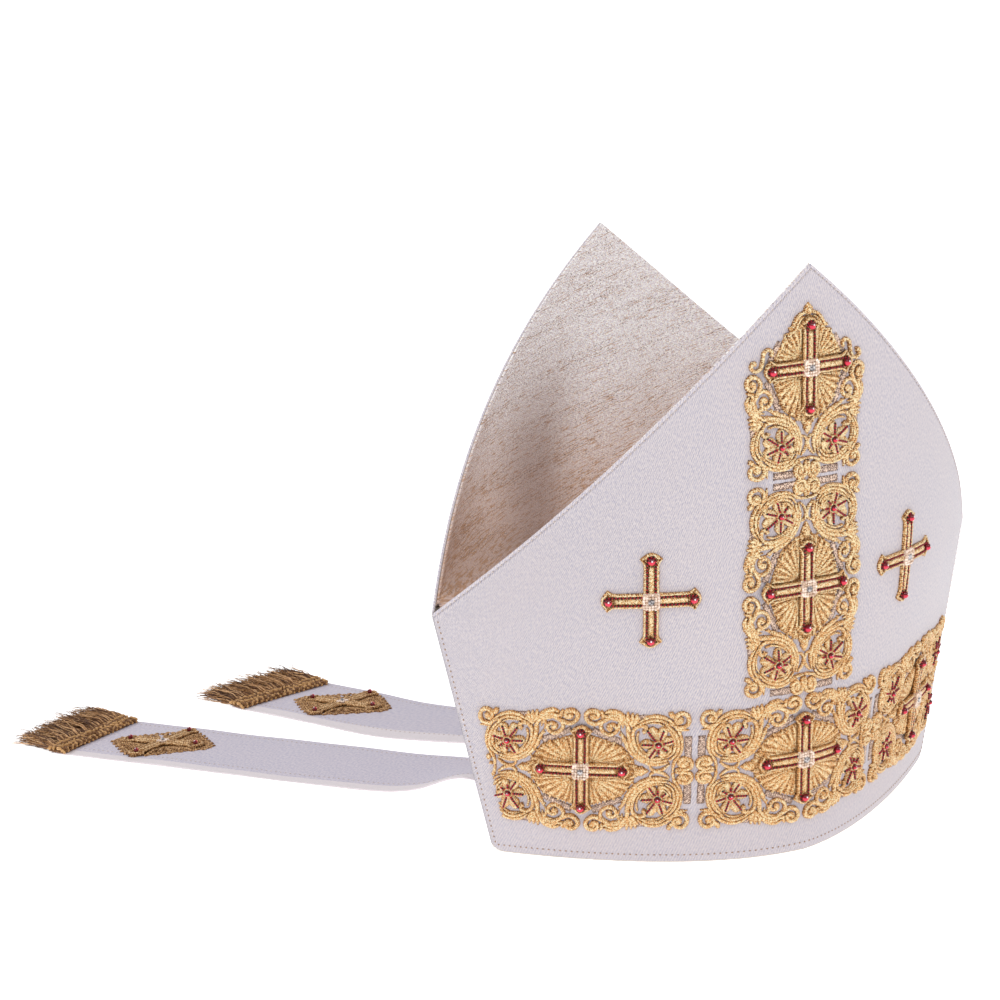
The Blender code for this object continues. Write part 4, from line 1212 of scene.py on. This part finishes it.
# Its place along and up the front, and how high it lies.
crosses = (
    ("band_left", BAND_LEFT, BAND_MIDDLE + 0.0008, ON_PANEL),
    ("band_centre", BAND_CENTRE, BAND_MIDDLE + 0.0004, ON_PANEL),
    ("band_right", BAND_RIGHT, BAND_MIDDLE, ON_PANEL),
    ("column_lower", COLUMN_AT, COLUMN_LOWER, ON_PANEL),
    ("column_upper", COLUMN_AT, COLUMN_UPPER, ON_PANEL),
    ("field_left", -0.0749, 0.1312, 0.0),
    ("field_right", 0.0650, 0.1314, 0.0),
)
for name, arc, z, low in crosses:
    cross = padded_cross(f"padded_cross_{name}", lay_on_front(arc, z), low, CROSS_RISE)
    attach(cross, "root")
    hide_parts(f"cross_{name}")

# ---- Beaded settings --------------------------------------------------------------------
# A square of cream and silver seed beads covers the middle of each cross. A clear stone,
# cut with a table and two rows of facets, is sewn into its centre.

seed_glass = Finish("seed_glass")
tint = seed_glass.noise(seed_glass.place(), 520, 1.0).between(0.35, 0.65)
seed_glass = seed_glass.set(
    Base_Color=seed_glass.mix(tint, (0.66, 0.46, 0.33), (1.0, 0.84, 0.72)),
    Roughness=0.25,
    Metallic=0.10 + 0.15 * tint,
    Coat_Weight=0.5,
)
crystal = Finish("clear_stone")
# Painted reflections: a mottle from near black to grey stands for what the clear stone reflects and shows
# through.
reflection_mottle = crystal.noise(crystal.place(), 1100, 2.0).between(0.35, 0.65)
crystal = crystal.set(
    Base_Color=crystal.mix(reflection_mottle, (0.07, 0.06, 0.06), (0.62, 0.58, 0.58)),
    Roughness=0.06,
    Metallic=0.45,
    Coat_Weight=1.0,
)


def cut_stone(name, lay, radius, base, rise):
    """Sixteen girdle facets, eight crown facets and a table."""
    # Each ring of corners: how many, how wide, how high, and its turn.
    rings = ((16, 0.92, -0.4, 0), (16, 1.0, 0.0, 0), (16, 0.80, 0.55, 0.5), (8, 0.55, 1.0, 0))
    points, faces = [], []
    for count, wide, high, turn in rings:
        way, wide = (np.arange(count) + turn) * 2 * math.pi / count, radius * wide
        height = np.full(count, base + rise * high)
        points.append(np.c_[wide * np.cos(way), wide * np.sin(way), height])
    for i in range(16):
        j = (i + 1) % 16
        faces += [[i, j, 16 + j, 16 + i], [16 + i, 16 + j, 32 + i], [16 + j, 32 + j, 32 + i]]
    for i in range(8):
        left, middle, right = 32 + (2 * i - 1) % 16, 32 + 2 * i, 32 + (2 * i + 1) % 16
        here, after = 48 + i, 48 + (i + 1) % 8
        faces += [[left, middle, here], [middle, after, here], [middle, right, after]]
    faces += [list(range(48, 56)), list(range(15, -1, -1))]
    return piece(name, lay(np.concatenate(points)), faces, [crystal], smooth=False)


# Seeds: radius, pitch, how far they stray, and where the four at the corners lie.
SEED_RADIUS, SEED_PITCH, SEED_STRAY, SEED_CORNER = 0.74, 1.33, 0.08, 2.95
STONE_RADIUS, STONE_RISE, FELT_THICK = 1.55, 0.8, 0.5
FELT = (
    (-4.0, -3.2), (-3.2, -4.0), (3.2, -4.0), (4.0, -3.2),
    (4.0, 3.2), (3.2, 4.0), (-3.2, 4.0), (-4.0, 3.2),
)


def beaded_setting(name, lay, low, share=1.0):
    """Seed beads in a square on a small felt, with the stone in the middle."""
    work = Needlework()
    work.patch(np.array(FELT) * share, low + FELT_THICK, low - 0.3)
    chance = np.random.default_rng(5)
    grid = (np.arange(6) - 2.5) * SEED_PITCH
    spots = [(x, y) for x in grid for y in grid if 1.5 < math.hypot(x, y) < 4.6]
    spots += [(x, y) for x in (-SEED_CORNER, SEED_CORNER) for y in (-SEED_CORNER, SEED_CORNER)]
    places = np.array([(x * share, y * share, low + 0.85) for x, y in spots])
    places += chance.normal(0, SEED_STRAY, places.shape)
    parts = [beads("seeds", places, SEED_RADIUS * share, lay, seed_glass, 10, 6)]
    parts.append(cut_stone("stone", lay, STONE_RADIUS * share, low + 1.1, STONE_RISE))
    return joined(name, [work.made("felt", lay, seed_glass), *parts])


SETTING_ON_PANEL, SETTING_ON_SATIN = 1.75, 1.65
for name, arc, z, low in crosses:
    top = low + (SETTING_ON_PANEL if low else SETTING_ON_SATIN)
    setting = beaded_setting(f"beaded_setting_{name}", lay_on_front(arc, z), top)
    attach(setting, "root")
    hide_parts(f"setting_{name}")

# ---- Lappets -----------------------------------------------------------------------------
# Two straight strips of the same satin, lined and turned in at both edges. They are sewn to
# the back just above the rim, slope down to the table and lie flat out to the left.

LAPPET_WIDTH, LAPPET_CLOTH, LAPPET_TAB, LAPPET_LIFT = 0.0575, 0.0012, 0.0180, 0.0115
# Where each is sewn along the back, a point that it lies over, the middle of its end and the way
# it points there, the slant of that end, the comb of its fringe, how high it rises beside the
# rim, and its medallion's distance from the end and from the middle, and its turn.
lappets = (
    {
        "side": "left", "sewn_at": -0.0600, "by": (-0.1200, 0.1355), "end": (-0.2250, 0.2715),
        "way": 128.0, "slant": -9.5, "comb": -14.0, "rise": 1.0, "medallion": (0.0465, 0.0012, 3.6),
    },
    {
        "side": "right", "sewn_at": 0.0180, "by": (-0.0705, 0.1980), "end": (-0.1117, 0.2818),
        "way": 118.0, "slant": -14.5, "comb": 0.0, "rise": 0.3, "medallion": (0.0459, -0.0004, 6.2),
    },
)
LAPPET_HEM = 0.0530
# A lighter copy of the front's satin: the extra lightness is painted light for the lappets lying flat.
lit_lappet_satin = satin("lit_lappet_satin", (0.685, 0.630, 0.665), 0.10, LAPPET_HEM)


def lappet_ways(lappet):
    """Along a lappet's flat stretch, and across it."""
    way = math.radians(lappet["way"])
    along = np.array([math.cos(way), math.sin(way), 0])
    return along, np.array([along[1], -along[0], 0])


def lappet_thread(lappet, across, rows):
    """One thread of a lappet's upper face, from the back rim to its end."""
    lift = HALF_GAP + LAPPET_CLOTH
    offset = across * LAPPET_WIDTH
    near_side = 0.5 + across
    low_end = LAPPET_TAB * (0.30 + 0.25 * near_side * lappet["rise"])
    places = [(lappet["sewn_at"] - offset, z, lift) for z in (LAPPET_TAB, LAPPET_TAB * 0.72)]
    places.append((lappet["sewn_at"] - offset, low_end, lift + 0.0085))
    on_rim = on_wall(places, BACK) - MITRE
    along, over = lappet_ways(lappet)
    slant = math.tan(math.radians(lappet["slant"]))
    by = np.array([*lappet["by"], LAPPET_CLOTH]) - over * offset
    end = np.array([*lappet["end"], LAPPET_CLOTH]) - (over + along * slant) * offset
    points = [*on_rim]
    for share, part in ((0.30, 1.0), (0.62, 0.2)):
        point = on_rim[-1] * (1 - share) + by * share
        point[2] = LAPPET_CLOTH + LAPPET_LIFT * part * near_side * lappet["rise"]
        points.append(point)
    line = eased([*points, by, (by + end) / 2, end], 0.0005)
    picked = np.linspace(0, len(line) - 1, rows)
    return np.stack([np.interp(picked, np.arange(len(line)), column) for column in line.T], -1)


def lappet_strip(lappet, rows=150, columns=24):
    """A closed strip with rounded edges, resting on the table."""
    shares = np.linspace(-0.5, 0.5, columns + 1)
    shares = np.sign(shares) * (0.5 - 0.5 * (1 - 2 * np.abs(shares)) ** 1.35)
    upper = np.stack([lappet_thread(lappet, share, rows) for share in shares], 1)
    normal = unit(np.cross(np.gradient(upper, axis=0), np.gradient(upper, axis=1)))
    normal *= np.sign(normal[rows // 2, columns // 2, 2])
    run = arcs_of(upper, 0)[..., None]
    side = shares[None, :, None]
    # The cloth is smooth where it is sewn on and at its end.
    free = np.clip((run - 0.05) / 0.04, 0, 1) * np.clip((run[-1] - run) / 0.02, 0, 1)
    ripple = (np.sin(run * 62 + side * 2.5) * 0.35 + np.sin(run * 131 - side * 5 + 1) * 0.2) * 0.00045
    near = np.clip((side - 0.36) / 0.14, 0, 1) ** 1.4 + 0.35 * np.clip((-0.40 - side) / 0.10, 0, 1)
    hem = np.exp(-(((np.abs(side) - 0.445) / 0.012) ** 2))
    puff = (ripple + 0.00035 * (1 - (2 * side) ** 2)) * free - near * 0.00025 - hem * 0.00022
    lower = upper - normal * LAPPET_CLOTH
    upper = upper + np.array([0, 0, 1.0]) * puff
    lower[..., 2] = np.maximum(lower[..., 2], 0.00002)
    middle, half = (upper + lower) / 2, (upper - lower) / 2
    ends = []
    for edge, turn in ((0, -1), (-1, 1)):
        out = unit(upper[:, edge] - upper[:, edge - turn])
        round_edge = ((0.7, 0.72), (0.0, 1.0), (-0.7, 0.72))
        bulge = [middle[:, edge] + half[:, edge] * s + out * 0.0006 * c for s, c in round_edge]
        ends.append(np.stack(bulge, 1))
    loop = np.concatenate([upper, ends[1], lower[:, ::-1], ends[0][:, ::-1]], 1)
    across = arcs_of(loop, 1)
    across = np.where(across < across[:, [columns]], across, 2 * across[:, [columns + 2]] - across)
    uv = np.stack([arcs_of(loop, 0), across], -1).reshape(-1, 2)
    count = loop.shape[1]
    r, c = np.arange(rows - 1)[:, None] * count, np.arange(count)[None, :]
    a, b = (r + c).ravel(), (r + (c + 1) % count).ravel()
    faces = np.stack([a, b, b + count, a + count], -1)
    name = f"satin_lappet_{lappet['side']}"
    made = piece(name, loop.reshape(-1, 3) + MITRE, faces, [lit_lappet_satin], uv)
    close_ends(made)
    return made, upper


for lappet in lappets:
    strip, upper = lappet_strip(lappet)
    lappet["strip"], lappet["length"] = strip, float(arcs_of(upper, 0)[-1].mean())
    parts = []
    slopes = np.cross(np.gradient(upper[2:], axis=0), np.gradient(upper[2:], axis=1))
    for column in (3, -6):
        line = upper[2:, column]
        above = unit(slopes[:, column])
        above *= np.sign(above[60, 2])
        parts.append(stitched("stitches", line + MITRE, above, STITCH_PITCH, STITCH_SIZE, pale_thread))
    for row in (3, 9):
        line = upper[row, 2:-2]
        above = np.broadcast_to(unit(wall_normal(line[:, 0], line[:, 2], BACK)), line.shape)
        parts.append(stitched("stitches", line + MITRE, above, STITCH_PITCH, STITCH_SIZE, tan_thread))
    seam = joined(f"lappet_stitching_{lappet['side']}", parts)
    for made, slot in ((strip, "cloth"), (seam, "braid")):
        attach(made, "root")
    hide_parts(f"lappet_{lappet['side']}")
    lappet["with"] = [seam]

# ---- Medallions on the lappets --------------------------------------------------------------
# Near the end of each lappet lies a small gold lozenge of the same needlework, with its own
# cross, beads and setting. It is sewn on a little askew.

# The small cross: how high it lies and how thick it is. The small setting: how high it lies and
# its share of the size of one on the front.
MEDALLION_SKEW, SMALL_CROSS, SMALL_SETTING = 0.31, (1.2, 1.4), (1.7, 0.62)
MEDALLION = np.array(((27.8, 0), (24.6, 4.4), (16.0, 11.2), (8.0, 17.4), (0, 21.2)))
MEDALLION_RAYS = (
    ((4.4, 4.8), (4.8, 10.6), (5.4, 16.2), 2.6),
    ((4.8, 4.8), (7.0, 9.8), (9.2, 13.6), 2.8),
    ((5.2, 4.6), (9.4, 8.2), (13.2, 10.8), 2.9),
    ((5.4, 4.4), (11.6, 6.4), (17.2, 8.2), 2.9),
    ((5.6, 4.2), (13.6, 4.8), (20.8, 5.2), 2.5),
)
MEDALLION_POINTS = (
    (((23.0, 0), (26.0, 0), (28.8, 0)), 4.0, 1.1),
    (((0, 19.0), (0, 21.0), (0, 22.8)), 4.2, 1.0),
)
light, middle, dark = (0.86, 0.54, 0.26), (0.34, 0.150, 0.042), (0.075, 0.026, 0.007)
medallion_gold = gold_thread("medallion_gold", light, middle, dark)
light, middle, dark = (1.0, 0.72, 0.40), (0.52, 0.250, 0.075), (0.10, 0.035, 0.009)
lappet_gold = gold_thread("lappet_gold", light, middle, dark)


def lay_on_lappet(lappet, back=0.0, aside=0.0, turn=0.0, skew=0.0):
    """Lays flat work in millimetres on a lappet: X along it, back from its end and off its middle."""
    along, over = lappet_ways(lappet)
    middle = MITRE + np.array([*lappet["end"], LAPPET_CLOTH]) - along * back - over * aside
    way = math.radians(lappet["way"] + turn)
    x = np.array([math.cos(way), math.sin(way), 0])
    y = np.array([-x[1], x[0], 0])

    def lay(flat):
        flat = np.asarray(flat) * 0.001
        return middle + flat[:, :1] * x + flat[:, 1:2] * (y + skew * x) + flat[:, 2:] * (0, 0, 1.0)

    return lay


def medallion_work():
    """A lozenge of rays with a jagged edge, and a point at each of its corners."""
    work = Needlework()
    # The underlay carries no painted light, so it shows as painted shade between the rays and leaves.
    work.patch(np.array(turned_about(MEDALLION)) * 0.96, 0.45, crest=0.0)
    for across in (-1, 1):
        for up in (-1, 1):
            shell_rays(work, across, up, MEDALLION_RAYS, 1.6, 0.85)
            edge = eased(MEDALLION * (across, up), 2.6)
            for number, (start, end) in enumerate(zip(edge, edge[1:])):
                middle = (start + end) / 2
                out = middle * (1.0 + 0.065 * (number % 2))
                work.stroke([start * 0.97, out, end], 1.9, 1.3, (0.6, 1, 0.3))
                work.stroke([middle * 0.86, middle * 0.93, start], 1.8, 1.2, (0.5, 1, 0.6))
        for path, width, height in MEDALLION_POINTS:
            work.stroke(np.array(path) * across, width, height, (0.8, 1, 0.7, 0.1))
    return work


for lappet in lappets:
    side = lappet["side"]
    lay = lay_on_lappet(lappet, *lappet["medallion"], MEDALLION_SKEW)
    medallion = medallion_work().made(f"medallion_work_{side}", lay, medallion_gold)
    cross = padded_cross(f"padded_cross_lappet_{side}", lay, *SMALL_CROSS, lappet_gold, loops=False)
    setting = beaded_setting(f"beaded_setting_lappet_{side}", lay, *SMALL_SETTING)
    sewn = (medallion, "medallion", "gold"), (cross, "cross_lappet", "gold")
    for made, node, slot in (*sewn, (setting, "setting_lappet", "stone")):
        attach(made, "root")
        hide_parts(f"{node}_{side}")
    lappet["with"] += [medallion, cross, setting]

# ---- Fringes ----------------------------------------------------------------------------------
# A woven gold braid is sewn across each lappet's end. From it hangs a fringe of crinkled
# gold threads, combed to one side and lying on the table in loose locks with ragged tips.

FRINGE_LENGTH, LOCK_WIDTH, THREAD_RADII = 30.5, 6.4, (0.17, 0.34)


def fringe_gold(name, light, middle, dark):
    """Crinkled gold thread, every one in its own shade; lower threads carry painted shade."""
    finish = Finish(name)
    grit = finish.noise(finish.place(), 900, 3.0)
    stops = [(0.30, dark), (0.58, middle), (0.88, light)]
    tone = finish.mark("shade") * 0.62 + grit * 0.55 - 0.08
    ground = finish.node("ShaderNodeValToRGB", {"stops": stops}, {"Fac": tone})
    finish.relief(grit, 0.00012)
    return finish.set(Base_Color=ground, Roughness=0.42, Metallic=0.15)


light, middle, dark = (0.82, 0.50, 0.25), (0.38, 0.178, 0.056), (0.098, 0.034, 0.008)
fringe_thread = fringe_gold("fringe_thread", light, middle, dark)
braid_light = spun_thread("braid_light", (0.80, 0.47, 0.19), (0.32, 0.15, 0.048), 0.0011, 0.15, 0.42)
braid_brown = spun_thread("braid_brown", (0.30, 0.135, 0.042), (0.075, 0.027, 0.008), 0.0011, 0.15, 0.5)


def fringe_strands(side, lay, comb, count=1000, rings=12):
    """Loose threads as closed, tapering four-sided tubes."""
    chance = np.random.default_rng(len(side))
    half = LAPPET_WIDTH * 500 + 0.8
    share = np.linspace(0, 1, rings)[None, :]
    root = np.linspace(-half, half, count)[chance.permutation(count)][:, None]
    lock = np.sin(root * 0.42 + len(side)) + 0.6 * np.sin(root * 0.97 + 1.7)
    lock_middle = np.round(root / LOCK_WIDTH) * LOCK_WIDTH
    reach = FRINGE_LENGTH * (0.78 + 0.08 * lock + 0.22 * chance.random((count, 1)))
    reach = np.minimum(reach, FRINGE_LENGTH * 1.05)
    x = 1.2 + (reach - 1.2) * share
    gather = 0.24 * np.clip(share * 1.3 - 0.1, 0, 1)
    y = root * (1 - gather) + lock_middle * gather
    y = y * (1 - 0.07 * share) + np.tan(math.radians(comb)) * x
    phase = chance.random((count, 1)) * 6.28
    wave = chance.uniform(0.25, 1.0, (count, 1))
    y = y + wave * np.sin(share * chance.uniform(9, 20, (count, 1)) + phase) * share**0.5
    y = y + chance.normal(2.4, 2.0, (count, 1)) * share**3
    y = y + chance.normal(0, 3.6, (count, 1)) * share**1.5
    layer = chance.random((count, 1))
    crown = 1 - 0.55 * np.abs((root - lock_middle) / (LOCK_WIDTH / 2)) ** 2
    top = np.interp(share, [0, 0.2, 0.6, 1.0], [2.6, 5.4, 4.6, 2.2]) * crown
    h = 0.35 + (top - 0.35) * layer + 0.22 * np.sin(share * 14 + phase * 2) * share
    h = h + 4.0 * np.clip(chance.normal(0, 0.6, (count, 1)), 0, 1.5) * share**1.3
    # Past the lappet's end the threads come down by the thickness of its cloth.
    sunk = LAPPET_CLOTH * 1000
    h = np.clip(h - sunk * np.clip((x - 2) / 6, 0, 1), 0.3 - sunk * (x > 3.0), None)
    radius = chance.uniform(*THREAD_RADII, (count, 1)) * (1 - 0.65 * share**3)
    line = np.stack([x + 0 * y, y, h], -1)
    way = unit(np.gradient(line, axis=1))
    left = unit(np.cross(np.array([0, 0, 1.0]), way))
    up = np.cross(way, left)
    reach = radius[..., None]
    corners = [line + left * reach, line + up * reach, line - left * reach, line - up * reach]
    points = np.stack(corners, 2).reshape(-1, 3)
    faces = []
    r = np.arange(rings - 1) * 4
    for corner in range(4):
        nxt = (corner + 1) % 4
        faces.append(np.stack([r + corner, r + 4 + corner, r + 4 + nxt, r + nxt], -1))
    last = 4 * rings - 1
    single = np.concatenate([*faces, [[0, 1, 2, 3], [last, last - 1, last - 2, last - 3]]])
    every = (single[None] + (np.arange(count) * rings * 4)[:, None, None]).reshape(-1, 4)
    made = piece("strands", lay(points), every, [fringe_thread])
    shade = made.data.attributes.new("shade", "FLOAT", "POINT")
    # Each thread's shade is its own random tone plus painted shade: threads lying lower in the pile are
    # darker.
    tone = np.clip(layer * 0.35 + chance.random((count, 1)) * 1.25 - 0.40, 0, 1) * np.ones((1, rings * 4))
    shade.data.foreach_set("value", tone.astype(np.float32).ravel())
    return made


def braid_head(lay):
    """A flat core under four rows of plaited strands in a herringbone, with knots at one edge."""
    work = Needlework()
    half = LAPPET_WIDTH * 500 + 1.0
    for x in (-6.8, -4.2, -1.6, 0.8):
        work.stroke([(x, -half), (x, 0), (x, half)], 2.8, 1.3, (0.9, 1, 1, 0.9), low=0.0, step=2.0)
    parts = [work.made("core", lay, braid_brown)]
    # Each plait's distance from the lappet's end, slant, height and pitch.
    plaits = ((-7.2, 1.0, 1.5, 1.9), (-4.6, -1.0, 1.9, 2.1), (-2.0, 1.0, 2.1, 2.1), (0.4, -1.0, 1.9, 2.1))
    for x, slant, lift, pitch in plaits:
        path = eased([(x, -half), (x, 0), (x, half)], 0.5)
        path[:, 0] += 0.55 * np.sin(path[:, 1] * 1.3 + x * 3) + 0.3 * np.sin(path[:, 1] * 3.1 + x)
        flat = np.c_[path, lift + 0.45 * np.sin(path[:, 1] * 1.9 + x)]
        points, above = laid(flat, lay)
        for thread, first, tall in ((braid_light, 0.25, 0.00105), (braid_brown, 0.75, 0.00085)):
            size = (0.00185, 0.00074, tall)
            parts.append(stitched("strands", points, above, pitch * 0.002, size, thread, slant, first))
    for x, lift in ((-8.6, 1.0), (-8.2, 2.2)):
        path = eased([(x, -half), (x, 0), (x, half)], 0.5)
        flat = np.c_[path, lift + 0.5 * np.sin(path[:, 1] * 2.3 + lift)]
        points, above = laid(flat, lay)
        for thread, first in ((braid_light, 0.2 + lift * 0.2), (braid_brown, 0.7 + lift * 0.1)):
            size, pitch = (0.00120, 0.00085, 0.00085), 0.0036 + 0.0004 * lift
            parts.append(stitched("knots", points, above, pitch, size, thread, 0.6 * lift, first))
    return parts


for lappet in lappets:
    side = lappet["side"]
    lay = lay_on_lappet(lappet, turn=lappet["slant"])
    strands = fringe_strands(side, lay, lappet["comb"])
    fringe = joined(f"fringe_work_{side}", [strands, *braid_head(lay)])
    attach(fringe, "root")
    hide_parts(f"fringe_{side}")
